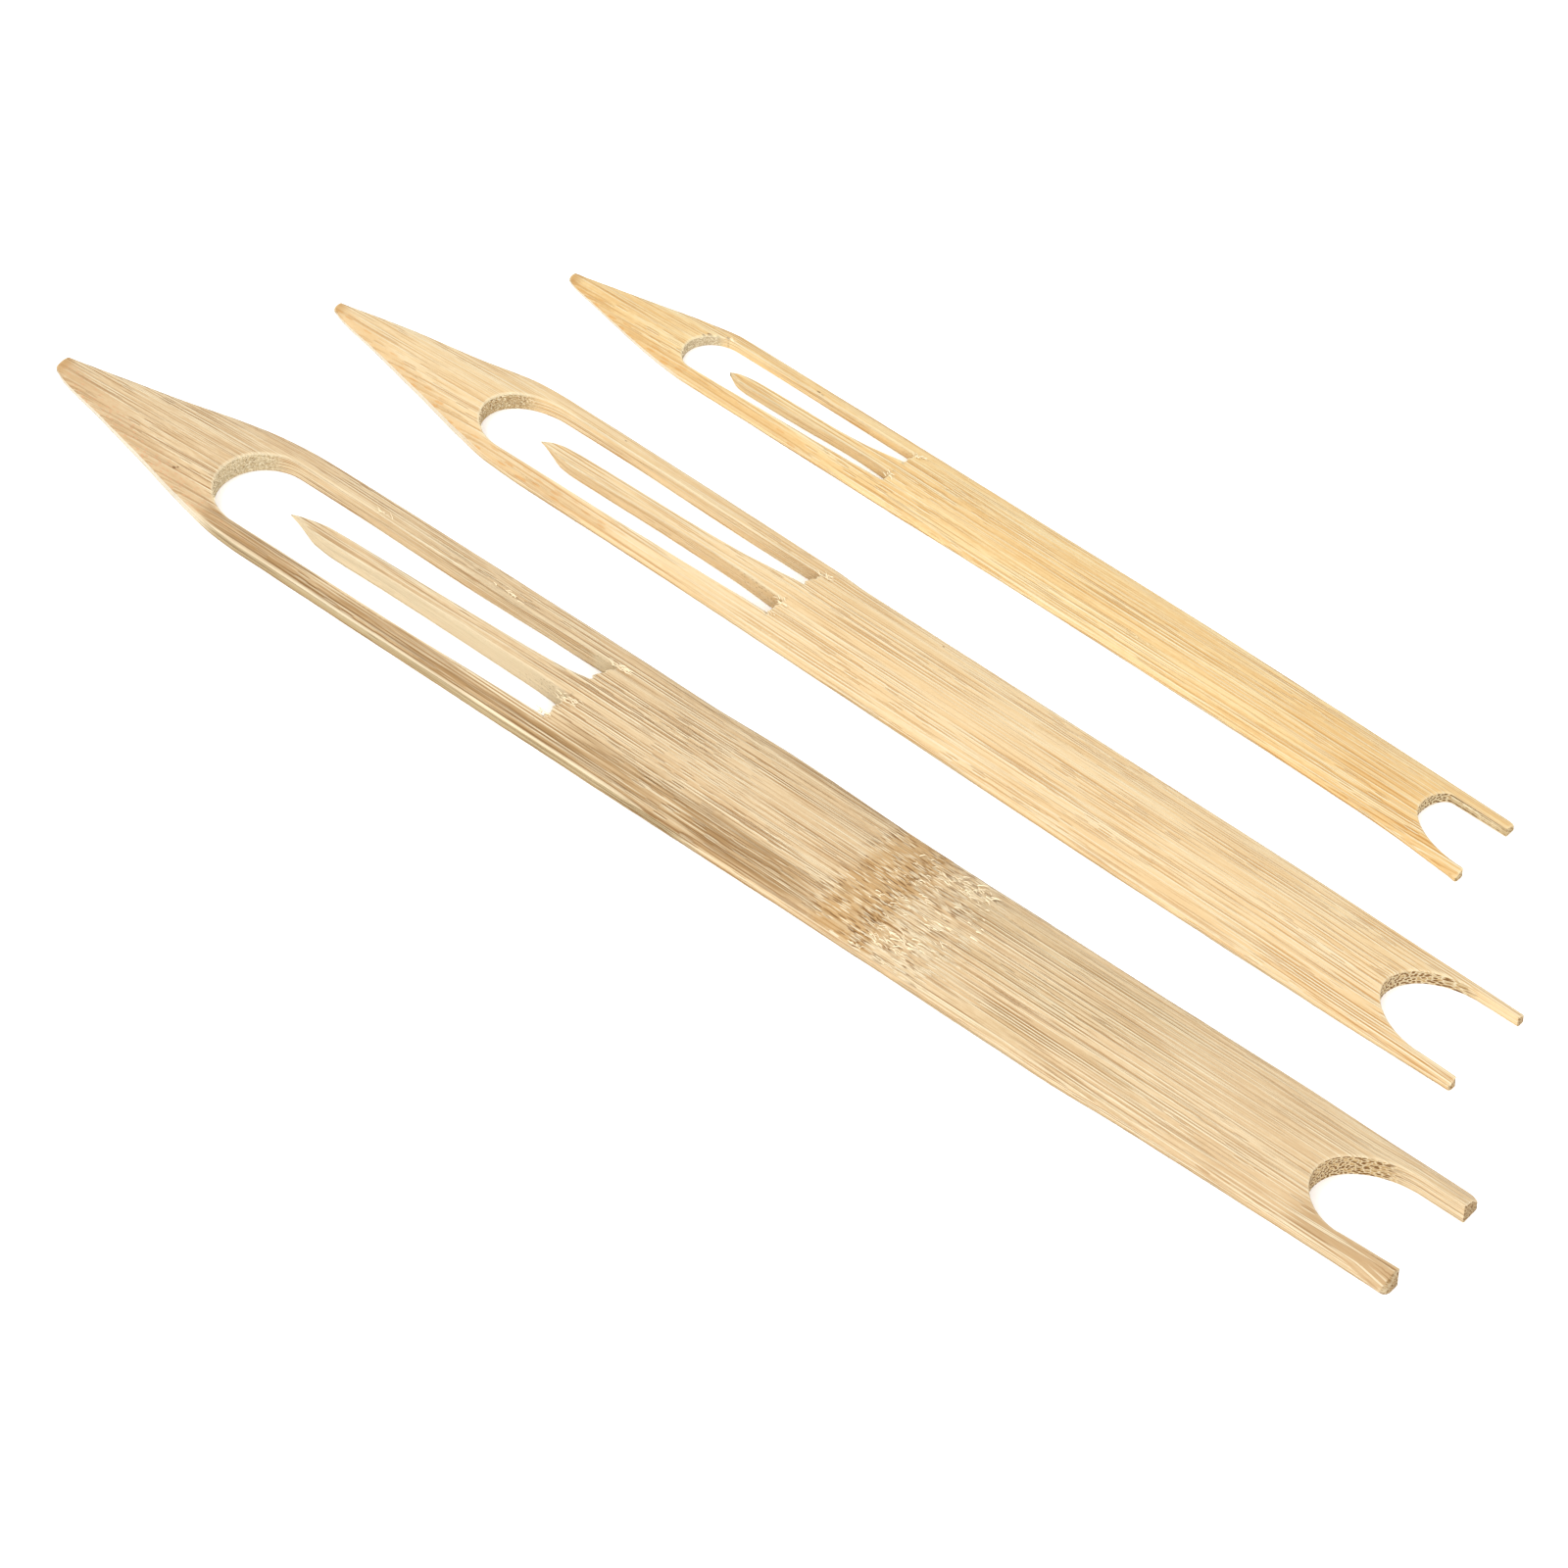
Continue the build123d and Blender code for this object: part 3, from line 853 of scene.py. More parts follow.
def wall_tint(size, points):
    """How pale a cut wall is at each point, with painted light at the slots' ends. The rest of it is as
    golden as the back.
    """
    x, y, _ = points.T
    tongue = (x > TONGUE_FAR[size][0][0]) & (x < ROOT_X[size]) & (np.abs(y + 0.3) < 2.6)
    tip = (1 - smooth_step(EYE_START[size], EYE_START[size] + 14, x)) * (y < -0.5)
    # Painted light at the ends of the slots, which lie in shade
    slot_end = bump_between(ROOT_X[size] - 2.2, ROOT_X[size] + 3, 1.5, x) * (np.abs(y) < 7)
    return np.maximum(np.where(tongue, 1.0, 0.0), np.maximum(0.9 * tip, slot_end))


def in_fork(size, points):
    """1 in the fork and on the ends of its prongs, where the bundles of the cane show as dots."""
    return smooth_step(FORK_START[size] - 3, FORK_START[size] - 2, points[:, 0])


def flecked(size, points):
    """How full of small pinkish flecks the back is: beside the near edge of the tip."""
    x, y, _ = points.T
    reach = FLECK_REACH[size]
    beside = 1 - smooth_step(0.45 * reach, reach, y - near_edge(size, x))
    return beside * bump_between(2, FLECK_STOP[size], 7, x)


def add_colours(mesh, name, colours):
    """Keeps four values for each corner of the mesh, as a colour that the material reads."""
    layer = mesh.attributes.new(name, "FLOAT_COLOR", "CORNER")
    layer.data.foreach_set("color", np.ascontiguousarray(colours).ravel())


def placed(name, data):
    """A new object in the scene."""
    made = bpy.data.objects.new(name, data)
    bpy.context.scene.collection.objects.link(made)
    return made


def make_object(name, size, piece, material):
    """The Blender object of a piece, with its zones kept as colours on its corners."""
    mesh = bpy.data.meshes.new(name)
    mesh.from_pydata(to_row(size, piece.points).tolist(), [], piece.faces)
    mesh.validate()
    grain = mesh.attributes.new("grain", "FLOAT_VECTOR", "POINT")
    grain.data.foreach_set("vector", piece.points.ravel())
    corner_points = np.empty(len(mesh.loops), int)
    mesh.loops.foreach_get("vertex_index", corner_points)
    kind = np.repeat(piece.kinds, [len(face) for face in piece.faces])
    cut, loose = 1.0 * (kind != PLANED), 1.0 * (kind == LOOSE)
    at = piece.points[corner_points]
    end, rim, low, bright = piece.zones[corner_points].T
    pale = np.maximum(wall_tint(size, at), loose)
    add_colours(mesh, "worked", np.column_stack([cut, pale, end * cut, in_fork(size, at)]))
    add_colours(mesh, "sides", np.column_stack([rim, flecked(size, at), low, bright]))
    add_colours(mesh, "edges", edge_distances(size, at))
    mesh.shade_smooth()
    mesh.set_sharp_from_angle(angle=math.radians(SHARP_DEG))
    mesh.materials.append(material)
    return placed(name, mesh)


LOOKS = {
    # Colours as they are on a screen, from 0 to 255
    "base": by_size((228, 198, 154), (243, 213, 164), (242, 206, 146)),
    "dark": by_size((208, 172, 126), (230, 191, 136), (228, 182, 116)),
    "light": by_size((243, 218, 176), (251, 229, 188), (250, 226, 172)),
    "line": by_size((162, 112, 54), (198, 138, 62), (202, 140, 56)),
    # Light streaks of the grain, and the painted highlight along the rims
    "bright": by_size((255, 240, 204), (255, 243, 208), (255, 244, 206)),
    "fleck": by_size((222, 172, 128), (228, 172, 104), (226, 168, 96)),
    # The cut walls' own pale and golden colours, set lighter as painted light against the shade between the
    # rails
    "pale_cut": by_size((248, 230, 192), (244, 212, 160), (250, 222, 174)),
    "gold_cut": by_size((236, 208, 164), (238, 206, 154), (240, 206, 150)),
    "end": by_size((222, 188, 132), (222, 190, 138), (224, 194, 144)),
    "end_dark": by_size((178, 134, 78), (196, 156, 100), (188, 150, 98)),
    "eye_end": by_size((234, 216, 178), (220, 194, 148), (230, 210, 174)),
    "eye_dark": by_size((200, 176, 134), (188, 156, 108), (202, 180, 142)),
    "pore": by_size((118, 76, 34), (124, 80, 40), (122, 88, 48)),
    "sawn": by_size((140, 110, 70), (156, 118, 70), (188, 158, 108)),
    # How strong the lines and the tones are, and what sets the walls and the flecks apart; the lift is
    # painted light that brightens the cut walls
    "contrast": by_size(0.84, 0.66, 0.68),
    "depth": by_size(0.5, 0.36, 0.55),
    "pale_share": by_size(0.75, 0.3, 0.3),
    "gold_share": by_size(0.25, 0.3, 0.3),
    "bundles": by_size(2.6, 2.25, 2.4),
    "crumbs": by_size(0.7, 0.9, 0.25),
    "fleck_stretch": by_size(0.4, 0.15, 0.15),
    "lift": by_size(1.12, 1.14, 1.2),
    "fork_reach": by_size((0.1, 0.38), (0.02, 0.2), (-0.6, -0.3)),
}
STAIN = (174, 138, 92)
GREEN = (184, 164, 120)
JOINT_DARK = (124, 82, 34)
JOINT_GOLD = (198, 152, 88)
TORN_PALE = (255, 238, 202)
# Painted shade along the far rim and at the foot of the near outer walls
PAINTED_SHADE_GREY = (156, 128, 94)
# Painted shade on the lower half of the near outer walls
PAINTED_LOW_SHADE = (178, 146, 98)
KNOT_BROWN = (128, 88, 48)
TIP_BROWN = (196, 148, 84)
TIP_PALE = (250, 240, 218)

# Stains on the large needle: first and last x and their fading, first and last depth from the
# edge and their fading, and the strength
RAIL_STAIN = (36, 97, 5, 1.05, 2.75, 0.3, 1.0)
BLADE_STAIN = (99, 128, 10, 1.0, 4.3, 2.0, 1.0)
FAR_STAIN = (104, 132, 14, 0.1, 1.1, 0.9, 0.5)
PRONG_STAIN = (208, 219, 5, 0.6, 3.6, 0.5, 0.45)

# Parts of the large needle, as (first x, last x, fading): the torn fibres behind the eye, the green
# tinge on the back and on the near wall, and the pale lip of the near edge
TORN_PART = (104, 114, 6)
GREEN_PART = (152, 178, 8)
GREEN_WALL = (38, 112, 6)
LIP_PART = (34, 104, 6)

# Where the sawn corner of the large near prong starts, as a range of x less 0.4 y
SAWN_FROM = (221.6, 221.85)

# Dark spots on the backs, as (x, y, radius)
KNOTS = by_size(
    [(25.5, -4.9, 0.2), (25.9, -4.6, 0.13), (150.5, 6.9, 0.16)],
    [(46.0, 6.1, 0.12), (99.5, 5.9, 0.12)],
    [(21.8, 2.1, 0.3), (22.9, 2.6, 0.24), (21.3, 1.5, 0.2), (23.9, 3.3, 0.18), (39.2, 3.8, 0.2),
     (39.9, 3.7, 0.14)],
)

# The light on the set is brighter than what makes white paper white, so all else is darker than it looks
ALBEDO_SHARE = 0.6
# Loose fibres take a higher share, which makes them paler: painted light that lifts their thin shaded
# strands
LOOSE_PAINTED_LIGHT_SHARE = 0.78

PAPER_WHITE = (0.95, 0.95, 0.95, 1.0)


def linear(colour, share=ALBEDO_SHARE):
    """A screen colour as the share of light that the surface sends back."""
    parts = [c / 255 for c in colour]
    shares = [c / 12.92 if c <= 0.04045 else ((c + 0.055) / 1.055) ** 2.4 for c in parts]
    return tuple(share * part for part in shares) + (1.0,)


class Graph:
    """A short way to write a node material. A mask is a socket or a number from 0 to 1."""

    def __init__(self, name):
        self.material = bpy.data.materials.new(name)
        self.material.use_nodes = True
        self.tree = self.material.node_tree
        self.shader = self.tree.nodes["Principled BSDF"]

    def put(self, node, socket, value):
        if isinstance(value, bpy.types.NodeSocket):
            self.tree.links.new(value, node.inputs[socket])
        else:
            node.inputs[socket].default_value = value

    def node(self, kind, inputs, **settings):
        """The outputs of a new node that has these settings, and these values or links in its inputs."""
        made = self.tree.nodes.new("ShaderNode" + kind)
        for name, value in settings.items():
            setattr(made, name, value)
        for socket, value in inputs.items():
            self.put(made, socket, value)
        return made.outputs

    def attribute(self, name):
        return self.node("Attribute", {}, attribute_name=name)

    def parts(self, kind, value):
        """The three parts of a colour or of a vector, which is of kind Color or XYZ."""
        return self.node("Separate" + kind, {0: value})[:3]

    def vector(self, x, y, z=0.0):
        return self.node("CombineXYZ", {0: x, 1: y, 2: z})[0]

    def stretched(self, vector, scale, shift=(0, 0, 0)):
        return self.node("Mapping", {"Vector": vector, "Scale": scale, "Location": shift})[0]

    def shaken(self, vector, source, scale, reach):
        """The vector, moved about unevenly within the reach."""
        noise = self.node("TexNoise", {"Vector": source, "Scale": scale})[1]
        return self.node("VectorMath", {0: noise, 1: reach, 2: vector}, operation="MULTIPLY_ADD")[0]

    def noise(self, vector, scale, detail=2.0, roughness=0.5):
        inputs = {"Vector": vector, "Scale": scale, "Detail": detail, "Roughness": roughness}
        return self.node("TexNoise", inputs)[0]

    def cells(self, vector, scale, dimensions="2D"):
        """Distance to the nearest cell's middle, and a random grey for that cell."""
        made = self.node("TexVoronoi", {"Vector": vector, "Scale": scale}, voronoi_dimensions=dimensions)
        return made["Distance"], self.parts("Color", made["Color"])[0]

    def math(self, operation, *values, clamp=False):
        """The same operation over all the values, from left to right."""
        result = values[0]
        for value in values[1:]:
            result = self.node("Math", {0: result, 1: value}, operation=operation, use_clamp=clamp)[0]
        return result

    def times(self, *values):
        return self.math("MULTIPLY", *values)

    def plus(self, *values):
        return self.math("ADD", *values)

    def most(self, *values):
        return self.math("MAXIMUM", *values)

    def ramp(self, value, low, high, to_low=0.0, to_high=1.0):
        """Maps low to high smoothly onto 0 to 1, or onto the range given."""
        inputs = {"Value": value, "From Min": low, "From Max": high, "To Min": to_low, "To Max": to_high}
        return self.node("MapRange", inputs, interpolation_type="SMOOTHSTEP")[0]

    def band(self, value, low, high, soft):
        """1 between low and high, falling to 0 over soft on both sides."""
        return self.times(self.ramp(value, low - soft, low), self.ramp(value, high + soft, high))

    def mix(self, share, first, second):
        """A mix of two colours, whose sockets on the node are 6 and 7. The result's is 2."""
        return self.node("Mix", {0: share, 6: first, 7: second}, data_type="RGBA")[2]

    def over(self, base, colour, *masks):
        """Paints a colour over the base where all the masks show. Either may be a screen colour."""
        first, second = (linear(each) if isinstance(each, tuple) else each for each in (base, colour))
        return self.mix(self.times(*masks), first, second)

    def lighter(self, colour, factor):
        return self.node("VectorMath", {0: colour, "Scale": factor}, operation="SCALE")[0]


class Places:
    """What the mesh tells the material about each place on it, as masks and distances."""

    def __init__(self, graph):
        self.grain = graph.attribute("grain")["Vector"]
        worked, sides, edges = [graph.attribute(name) for name in ("worked", "sides", "edges")]
        self.cut, self.pale, self.end = graph.parts("Color", worked["Color"])
        self.fork = worked["Alpha"]
        # The rim takes painted shade and the bright rim a painted highlight; the bright rim is full on loose
        # fibres
        self.rim, self.flecky, self.low = graph.parts("Color", sides["Color"])
        self.bright_rim = sides["Alpha"]
        near_share, far_share, _ = graph.parts("Color", edges["Color"])
        self.from_near = graph.times(near_share, EDGE_REACH)
        self.from_far = graph.times(far_share, EDGE_REACH)
        self.outside = graph.ramp(self.from_near, 0.5, 0.3)
        self.x, self.y, z = graph.parts("XYZ", self.grain)
        # Along and across the fibres, on the back and on the walls alike
        self.surface = graph.mix(self.cut, self.grain, graph.vector(self.x, z, self.y))


def streaks(graph, surface, half_length, apart, half_width, seed, aside=0.0):
    """Thin lines along the fibres that taper at both ends, on average so far apart, as a mask."""
    spacing = math.sqrt(2 * half_width * apart)
    cell_length = half_length * spacing / half_width
    spread = graph.stretched(surface, (spacing / cell_length, 1, 1), (seed, seed + aside, 0))
    distance, chance = graph.cells(spread, 1 / spacing)
    line = graph.ramp(distance, half_width / spacing, 0.7 * half_width / spacing)
    return graph.times(line, graph.ramp(chance, 0.0, 0.5, 0.4, 1.0))


def fibre_tone(graph, grain):
    """The soft tone of the wood, from broad bands to hairs, and its broad bands alone."""
    bands = graph.noise(graph.stretched(grain, (0.02, 1, 1)), 0.5)
    fibres = graph.noise(graph.stretched(grain, (0.012, 1, 1)), 1.8, 4.0, 0.62)
    stipple = graph.noise(graph.stretched(grain, (0.22, 1, 1)), 3.4, 2.0, 0.6)
    return graph.plus(graph.times(fibres, 0.62), graph.times(bands, 0.16), graph.times(stipple, 0.22)), bands


def fibre_lines(graph, at, size):
    """Crisp dark and light lines along the fibres, mostly side by side, as two masks."""
    come_and_go = graph.noise(graph.stretched(at.grain, (0.05, 0.35, 0.35)), 1.0)
    lifted = graph.ramp(come_and_go, 0.5, 0.62)
    if size == "large":
        lifted = graph.math("ADD", lifted, graph.times(graph.band(at.x, *TORN_PART), 0.9), clamp=True)
    shown = graph.ramp(come_and_go, 0.36, 0.52, 0.35, 1.0)
    dark = graph.most(graph.times(streaks(graph, at.surface, 15.0, 0.8, 0.092, 0), shown),
                      graph.times(streaks(graph, at.surface, 7.0, 0.55, 0.075, 5), shown, 0.85),
                      graph.times(streaks(graph, at.surface, 1.3, 0.9, 0.085, 9), lifted, 0.9))
    light = graph.most(graph.times(streaks(graph, at.surface, 15.0, 0.8, 0.092, 0, 0.18), shown),
                       graph.times(streaks(graph, at.surface, 7.0, 0.5, 0.075, 13), 0.9),
                       graph.times(streaks(graph, at.surface, 1.3, 0.9, 0.085, 9, 0.15), lifted))
    if size == "large":
        dark = graph.times(dark, graph.ramp(at.x, 164, 186, 1.0, 0.7))
    return dark, light


def planed(graph, look, tone, bands, lines):
    """The planed bamboo: tone, then light lines, then dark lines."""
    depth, strength = look["depth"], 0.9 * look["contrast"]
    plain = graph.over(look["base"], look["dark"], graph.ramp(tone, 0.52, 0.41, 0.0, depth))
    plain = graph.over(plain, look["light"], graph.ramp(tone, 0.49, 0.58, 0.0, depth))
    plain = graph.over(plain, look["dark"], graph.ramp(bands, 0.46, 0.32, 0.0, 0.35 * depth))
    plain = graph.over(plain, look["bright"], lines[1], strength)
    return graph.over(plain, look["line"], lines[0], strength)


def with_heel(graph, look, size, at, plain, lines):
    """The heel, which is a little darker on its near side."""
    if size == "large":
        plain = graph.over(plain, look["light"], graph.ramp(at.x, 176, 192, 0.0, 0.1))
    behind = graph.ramp(at.x, FORK_START[size] - 25, FORK_START[size] + 4)
    heel = graph.times(behind, graph.ramp(at.from_near, 9, 1))
    plain = graph.over(plain, look["dark"], heel, 0.45)
    plain = graph.over(plain, look["line"], heel, lines[0], 0.7)
    return graph.over(plain, look["bright"], heel, lines[1], 0.6)


def with_flecks(graph, look, at, back):
    """Small pinkish flecks beside the near edge of the tip."""
    spread = graph.stretched(at.grain, (look["fleck_stretch"], 1, 0), (0.2, 0.6, 0))
    spot, chance = graph.cells(spread, 2.4)
    fleck = graph.times(graph.ramp(spot, 0.34, 0.2), graph.ramp(chance, 0.45, 0.6))
    back = graph.over(back, look["dark"], at.flecky, 0.55)
    return graph.over(back, look["fleck"], at.flecky, fleck, 0.7)


def patch(graph, x, depth, place):
    """The mask of a stain at a place that is listed with the colours."""
    first, last, fade, low, high, soft, share = place
    return graph.times(graph.band(x, first, last, fade), graph.band(depth, low, high, soft), share)


def with_stains(graph, at, back, tone, lines):
    """The large needle's brown and greenish stains, on its near rail and beside both edges."""
    patchy = graph.noise(graph.stretched(at.surface, (0.035, 1, 1), (2, 2, 5)), 1.9, 3.0, 0.6)
    drift = graph.noise(graph.stretched(at.surface, (0.05, 0.3, 0.3)), 1.0)
    depth = graph.plus(at.from_near, graph.times(drift, 1.6))
    rail, blade = patch(graph, at.x, depth, RAIL_STAIN), patch(graph, at.x, depth, BLADE_STAIN)
    stain = graph.most(rail, blade, patch(graph, at.x, at.from_far, FAR_STAIN))
    back = graph.over(back, STAIN, stain, graph.ramp(patchy, 0.36, 0.58, 0.35, 1.0))
    back = graph.over(back, JOINT_DARK, stain, lines[0], 0.5)
    back = graph.over(back, TORN_PALE, stain, lines[1], 0.35)
    green = graph.times(graph.band(at.x, *GREEN_PART), graph.ramp(drift, 0.45, 0.6), 0.2)
    back = graph.over(back, GREEN, green, graph.ramp(tone, 0.42, 0.6, 0.85, 0.5))
    prong = patch(graph, at.x, at.from_near, PRONG_STAIN)
    back = graph.over(back, STAIN, prong)
    back = graph.over(back, JOINT_DARK, prong, lines[0], 1.3)
    back = graph.over(back, TORN_PALE, prong, lines[1], 1.5)
    return graph.over(back, TORN_PALE, graph.band(at.x, *LIP_PART), graph.ramp(at.from_near, 0.3, 0.12), 0.6)


def with_joint(graph, at, back):
    """The cane's joint on the large needle: a dark line of short dashes, and chips after it."""
    line = graph.plus(at.x, -NODE_X)
    patches = graph.noise(graph.stretched(at.surface, (0.25, 0.5, 1), (1, 8, 2)), 1.0)
    around = graph.times(graph.band(line, -6, 7, 4), graph.ramp(patches, 0.4, 0.52), 0.9)
    dashed = graph.most(graph.band(line, -1.9, 0.4, 1.2), around)
    back = graph.over(back, JOINT_GOLD, graph.band(line, -5, 0.5, 3), 0.55)
    back = graph.over(back, JOINT_DARK, dashed, streaks(graph, at.surface, 0.9, 0.5, 0.1, 21), 0.8)
    seam = streaks(graph, at.surface, 0.6, 0.34, 0.07, 41)
    back = graph.over(back, JOINT_DARK, graph.band(line, -0.9, 0.2, 0.5), seam, 0.9)
    back = graph.over(back, TORN_PALE, around, streaks(graph, at.surface, 0.9, 0.5, 0.08, 21, 0.18), 0.9)
    ragged = graph.shaken(at.surface, at.surface, 1.0, (0.4, 0.22, 0.0))
    chipped = graph.times(graph.band(line, 0.3, 10.0, 3.0), graph.ramp(patches, 0.6, 0.46))
    chips = graph.times(chipped, streaks(graph, ragged, 1.1, 0.45, 0.08, 31))
    chinks = streaks(graph, ragged, 1.1, 0.45, 0.06, 31, 0.12)
    back = graph.over(back, JOINT_DARK, chipped, chinks, 0.45)
    return graph.over(back, TORN_PALE, chips, 0.9), chips


def end_grain(graph, look, size, at):
    """The fork's honeycomb of bundles, and a mask of the holes in it."""
    _, y, z = graph.parts("XYZ", at.grain)
    wavy = graph.shaken(graph.vector(y, z), at.grain, 1.6, (0.18, 0.18, 0.18))
    bundle, chance = graph.cells(wavy, look["bundles"])
    holes = graph.times(graph.ramp(bundle, 0.4, 0.24), graph.ramp(chance, 0.05, 0.2))
    rings = graph.times(graph.ramp(bundle, 0.66, 0.56), graph.ramp(bundle, 0.38, 0.48))
    grit = graph.noise(at.grain, 4.5, 2.0, 0.6)
    colour = graph.over(look["end"], look["end_dark"], graph.ramp(grit, 0.58, 0.42, 0.0, 0.7))
    colour = graph.over(colour, look["bright"], rings, 0.75)
    colour = graph.over(colour, look["pore"], holes, 0.85)
    at_end = graph.ramp(at.x, LENGTH[size] - 1.1, LENGTH[size] - 0.6)
    return graph.over(colour, look["sawn"], at_end, 0.5), holes


def eye_end(graph, look, at):
    """The fuzzy round end of the eye, with small dark specks under a painted highlight along its top."""
    speck, chance = graph.cells(graph.stretched(at.grain, (0.6, 1, 1), (0.7, 0.1, 0.4)), 3.2, "3D")
    specks = graph.times(graph.ramp(speck, 0.42, 0.2), graph.ramp(chance, 0.35, 0.6),
                         graph.ramp(at.low, 0.95, 0.2, 0.4, 0.9), look["crumbs"])
    fuzz = graph.noise(graph.stretched(at.grain, (0.8, 1, 1)), 5.0, 2.0, 0.7)
    colour = graph.over(look["eye_end"], look["eye_dark"], graph.ramp(fuzz, 0.56, 0.42))
    colour = graph.over(colour, look["bright"], graph.ramp(fuzz, 0.55, 0.62))
    colour = graph.over(colour, look["pore"], specks)
    # A painted highlight along the top of the wall
    return graph.over(colour, look["bright"], graph.ramp(at.low, 0.12, 0.0)), specks


def knot_mask(graph, size, at):
    """The few dark spots that can be seen on the back."""
    flat = graph.stretched(at.grain, (0.5, 1, 0))
    knots = []
    for x, y, radius in KNOTS[size]:
        gap = graph.node("VectorMath", {0: flat, 1: (0.5 * x, y, 0)}, operation="DISTANCE")["Value"]
        knots.append(graph.ramp(gap, radius, 0.5 * radius, 0.0, 0.8))
    return graph.most(*knots)


def back_colour(graph, look, size, at, plain, tone, lines, dotted, knots):
    """The back's colour, and a mask of the chips on it."""
    back = with_flecks(graph, look, at, plain)
    chips = 0.0
    if size == "large":
        back = with_stains(graph, at, back, tone, lines)
        back, chips = with_joint(graph, at, back)
        slanted = graph.plus(at.x, graph.times(at.y, -0.4))
        back = graph.over(back, graph.over(dotted, look["sawn"], 0.5), graph.ramp(slanted, *SAWN_FROM))
    back = graph.over(back, KNOT_BROWN, knots)
    back = graph.over(back, TIP_BROWN, graph.ramp(at.x, 2.4, 0.5, 0.0, 0.55))
    # Painted shade along the far rim, and a painted highlight along the cut and end edges
    back = graph.over(back, PAINTED_SHADE_GREY, at.rim, 0.6)
    return graph.over(back, look["bright"], at.bright_rim, graph.ramp(at.fork, 0.0, 1.0, 0.5, 0.25)), chips


def outer_walls(graph, look, size, at, wall, plain, dark_line):
    """The walls, with painted shade along their foot and what shows only on the outside of the needle's near
    edge.
    """
    if size == "large":
        outer = graph.times(graph.band(at.x, *GREEN_WALL), at.outside, 0.9)
        wall = graph.over(wall, graph.over(GREEN, plain, 0.3), outer)
        wall = graph.over(wall, JOINT_DARK, outer, dark_line, 0.8)
    # Painted shade along the foot of every wall, where it meets the floor
    wall = graph.over(wall, look["line"], graph.ramp(at.low, 0.8, 1.0, 0.0, 0.2))
    eye = EYE_START[size]
    # Painted shade on the lower half of the near outer wall from the eye on
    wall = graph.over(wall, PAINTED_LOW_SHADE, at.outside, graph.ramp(at.low, 0.5, 1.0),
                      graph.ramp(at.x, eye - 2, eye + 6), 0.5)
    wall = graph.over(wall, TIP_PALE, at.outside, graph.ramp(at.x, eye + 6, eye - 2), 0.8)
    # Painted shade: a grey line at the very foot of the near outer wall
    return graph.over(wall, PAINTED_SHADE_GREY, at.outside, graph.ramp(at.low, 0.9, 0.99), 0.55)


def wall_colour(graph, look, size, at, plain, lines, dotted, knots, fuzzy, specks):
    """The colour of the cut walls, of the round end of the eye and of the fork."""
    gold, pale, painted_lift = look["gold_share"], look["pale_share"], look["lift"]
    # Every cut wall is brightened by the lift: painted light that makes up for the shade on the walls and in
    # the slots
    wall = graph.lighter(graph.over(plain, look["gold_cut"], gold), painted_lift)
    pale_wall = graph.lighter(graph.over(plain, look["pale_cut"], pale), painted_lift)
    wall = graph.over(wall, look["line"], lines[0], 0.6)
    wall = graph.over(wall, look["bright"], lines[1], 0.6)
    wall = graph.over(wall, pale_wall, at.pale)
    wall = outer_walls(graph, look, size, at, wall, plain, lines[0])
    root = ROOT_X[size]
    wall = graph.over(wall, look["pore"], at.pale, specks, graph.band(at.x, root - 7, root + 1, 4), 0.6)
    wall = graph.over(wall, KNOT_BROWN, knots, 0.4)
    # Painted light: the torn ends of the slots are made paler to lift the shade there
    fuzzy = graph.over(fuzzy, graph.lighter(pale_wall, 1.15), graph.band(at.x, root - 3, root + 3, 1))
    wall = graph.over(wall, fuzzy, graph.ramp(at.end, 0.25, 0.6), graph.math("SUBTRACT", 1.0, at.fork))
    inner = graph.times(graph.ramp(at.from_near, 0.3, 0.5), graph.ramp(at.from_far, 0.3, 0.5))
    inner = graph.most(inner, graph.ramp(at.end, 0.3, 0.6))
    wall = graph.over(wall, dotted, graph.ramp(at.end, *look["fork_reach"]), at.fork, inner)
    # Loose fibres in the pale torn colour, lifted further by painted light
    loose = graph.band(at.bright_rim, 0.95, 1.1, 0.04)
    return graph.mix(loose, wall, linear(TORN_PALE, LOOSE_PAINTED_LIGHT_SHARE))


def bamboo(size):
    """Bamboo for one needle: streaked back, paler cut walls and dotted end grain."""
    look = {name: values[size] for name, values in LOOKS.items()}
    graph = Graph("bamboo_" + size)
    at = Places(graph)
    tone, bands = fibre_tone(graph, at.grain)
    lines = fibre_lines(graph, at, size)
    plain = with_heel(graph, look, size, at, planed(graph, look, tone, bands, lines), lines)
    dotted, holes = end_grain(graph, look, size, at)
    fuzzy, specks = eye_end(graph, look, at)
    knots = knot_mask(graph, size, at)
    back, chips = back_colour(graph, look, size, at, plain, tone, lines, dotted, knots)
    wall = wall_colour(graph, look, size, at, plain, lines, dotted, knots, fuzzy, specks)
    graph.put(graph.shader, "Base Color", graph.mix(at.cut, back, wall))
    rough = graph.plus(graph.ramp(tone, 0.4, 0.6, 0.74, 0.6), graph.times(at.cut, 0.15))
    graph.put(graph.shader, "Roughness", rough)
    graph.shader.inputs["Specular IOR Level"].default_value = 0.18

    grooves = graph.plus(graph.times(lines[0], -1.0), graph.times(lines[1], 0.6), graph.times(tone, 2.0))
    pits = graph.plus(graph.times(at.fork, holes), specks)
    height = graph.plus(grooves, graph.times(chips, 2.0), graph.times(at.end, pits, -1.5))
    bump = graph.node("Bump", {"Strength": 0.6, "Distance": 0.0001, "Height": height})
    graph.put(graph.shader, "Normal", bump[0])
    return graph.material


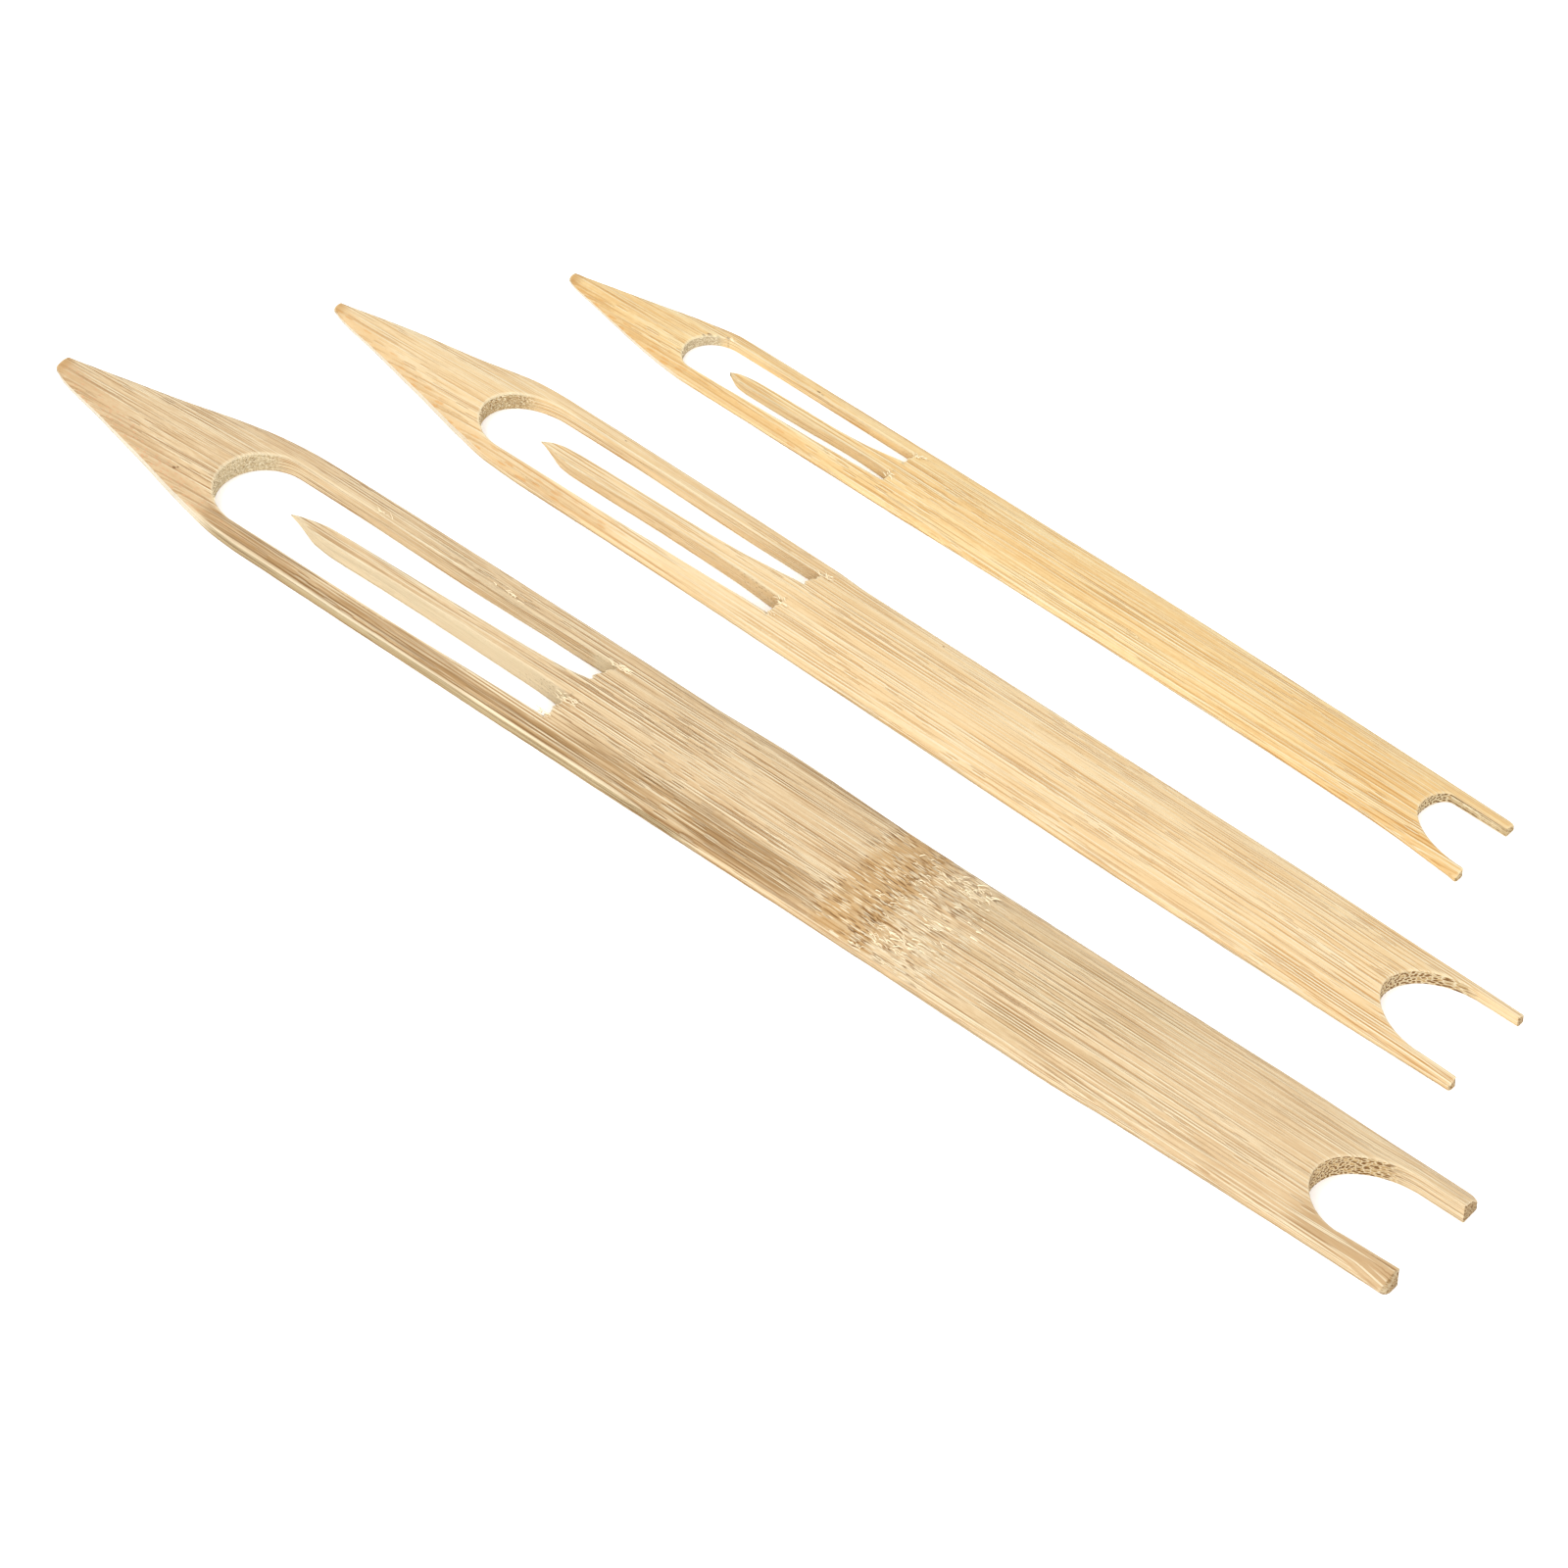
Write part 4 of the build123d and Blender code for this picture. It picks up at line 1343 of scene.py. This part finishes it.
def needle(size, material):
    """The needle without its tongue, which lies on its own body."""
    loops = [uneven(outer_loop(size), OUTER_SEED), uneven(eye_loop(size), EYE_SEED)]
    piece = build_piece(size, loops, back_height, flat_underside)
    add_tufts(piece, size, TUFT_SEED)
    add_arch_fuzz(piece, size, FUZZ_SEED)
    made = make_object(size + "_needle_bamboo", size, piece, material)
    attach(made, size + "_needle")
    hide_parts(size + "_needle")


def tongue(size, material):
    """The tongue, a piece of its own that reaches from the needle to its point."""
    loops = [uneven(tongue_loop(size), TONGUE_SEED)]
    piece = build_piece(size, loops, tongue_back, tongue_underside)
    made = make_object(size + "_tongue_bamboo", size, piece, material)
    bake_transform(made)
    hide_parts(size + "_tongue")


# The camera, as it stands to the object in the photograph
CAMERA_AIM = (0.0079, -0.0196928, 0.0)
CAMERA_AZIMUTH_DEG = 40.48
CAMERA_ELEVATION_DEG = 49.0
CAMERA_DISTANCE = 0.7019
CAMERA_LENS = 132.41
SENSOR_WIDTH = 36.0

# The strength of the light from all around, and each lamp's azimuth, elevation, distance, width and watts
DAYLIGHT = 1.4
LAMPS = {"key": (-35, 55, 1.6, 0.9, 7.5), "fill": (50, 32, 1.8, 1.2, 15.0)}


def direction(azimuth_deg, elevation_deg):
    """From the object towards a camera or lamp at that angle."""
    azimuth, elevation = math.radians(azimuth_deg), math.radians(elevation_deg)
    return Vector((math.sin(azimuth) * math.cos(elevation), -math.cos(azimuth) * math.cos(elevation),
                   math.sin(elevation)))


def aimed(made, azimuth_deg, elevation_deg, distance):
    back = direction(azimuth_deg, elevation_deg)
    made.location = Vector(CAMERA_AIM) + back * distance
    made.rotation_mode = "QUATERNION"
    made.rotation_quaternion = back.to_track_quat("Z", "Y")


def add_camera():
    data = bpy.data.cameras.new("camera")
    data.lens = CAMERA_LENS
    data.sensor_width = SENSOR_WIDTH
    data.clip_start = 0.01
    made = placed("camera", data)
    aimed(made, CAMERA_AZIMUTH_DEG, CAMERA_ELEVATION_DEG, CAMERA_DISTANCE)
    bpy.context.scene.camera = made


def add_lamp(name, azimuth_deg, elevation_deg, distance, width, power):
    data = bpy.data.lights.new(name, "AREA")
    data.shape = "DISK"
    data.size = width
    data.energy = power
    aimed(placed(name, data), azimuth_deg, elevation_deg, distance)


def add_floor():
    mesh = bpy.data.meshes.new("floor")
    half = 6.0
    level = -0.00002
    corners = [(-half, -half, level), (half, -half, level), (half, half, level), (-half, half, level)]
    mesh.from_pydata(corners, [], [(0, 1, 2, 3)])
    graph = Graph("white_paper")
    graph.shader.inputs["Base Color"].default_value = PAPER_WHITE
    graph.shader.inputs["Roughness"].default_value = 0.9
    graph.shader.inputs["Specular IOR Level"].default_value = 0.1
    mesh.materials.append(graph.material)
    placed("floor", mesh)


def add_daylight(strength):
    world = bpy.data.worlds.new("studio")
    world.use_nodes = True
    background = world.node_tree.nodes["Background"]
    background.inputs["Color"].default_value = (1.0, 1.0, 1.0, 1.0)
    background.inputs["Strength"].default_value = strength
    bpy.context.scene.world = world


def light_and_stage():
    add_camera()
    add_floor()
    add_daylight(DAYLIGHT)
    for name, settings in LAMPS.items():
        add_lamp(name, *settings)
    bpy.context.scene.view_settings.view_transform = "Standard"


light_and_stage()
for needle_size in SIZES:
    finish = bamboo(needle_size)
    needle(needle_size, finish)
    tongue(needle_size, finish)
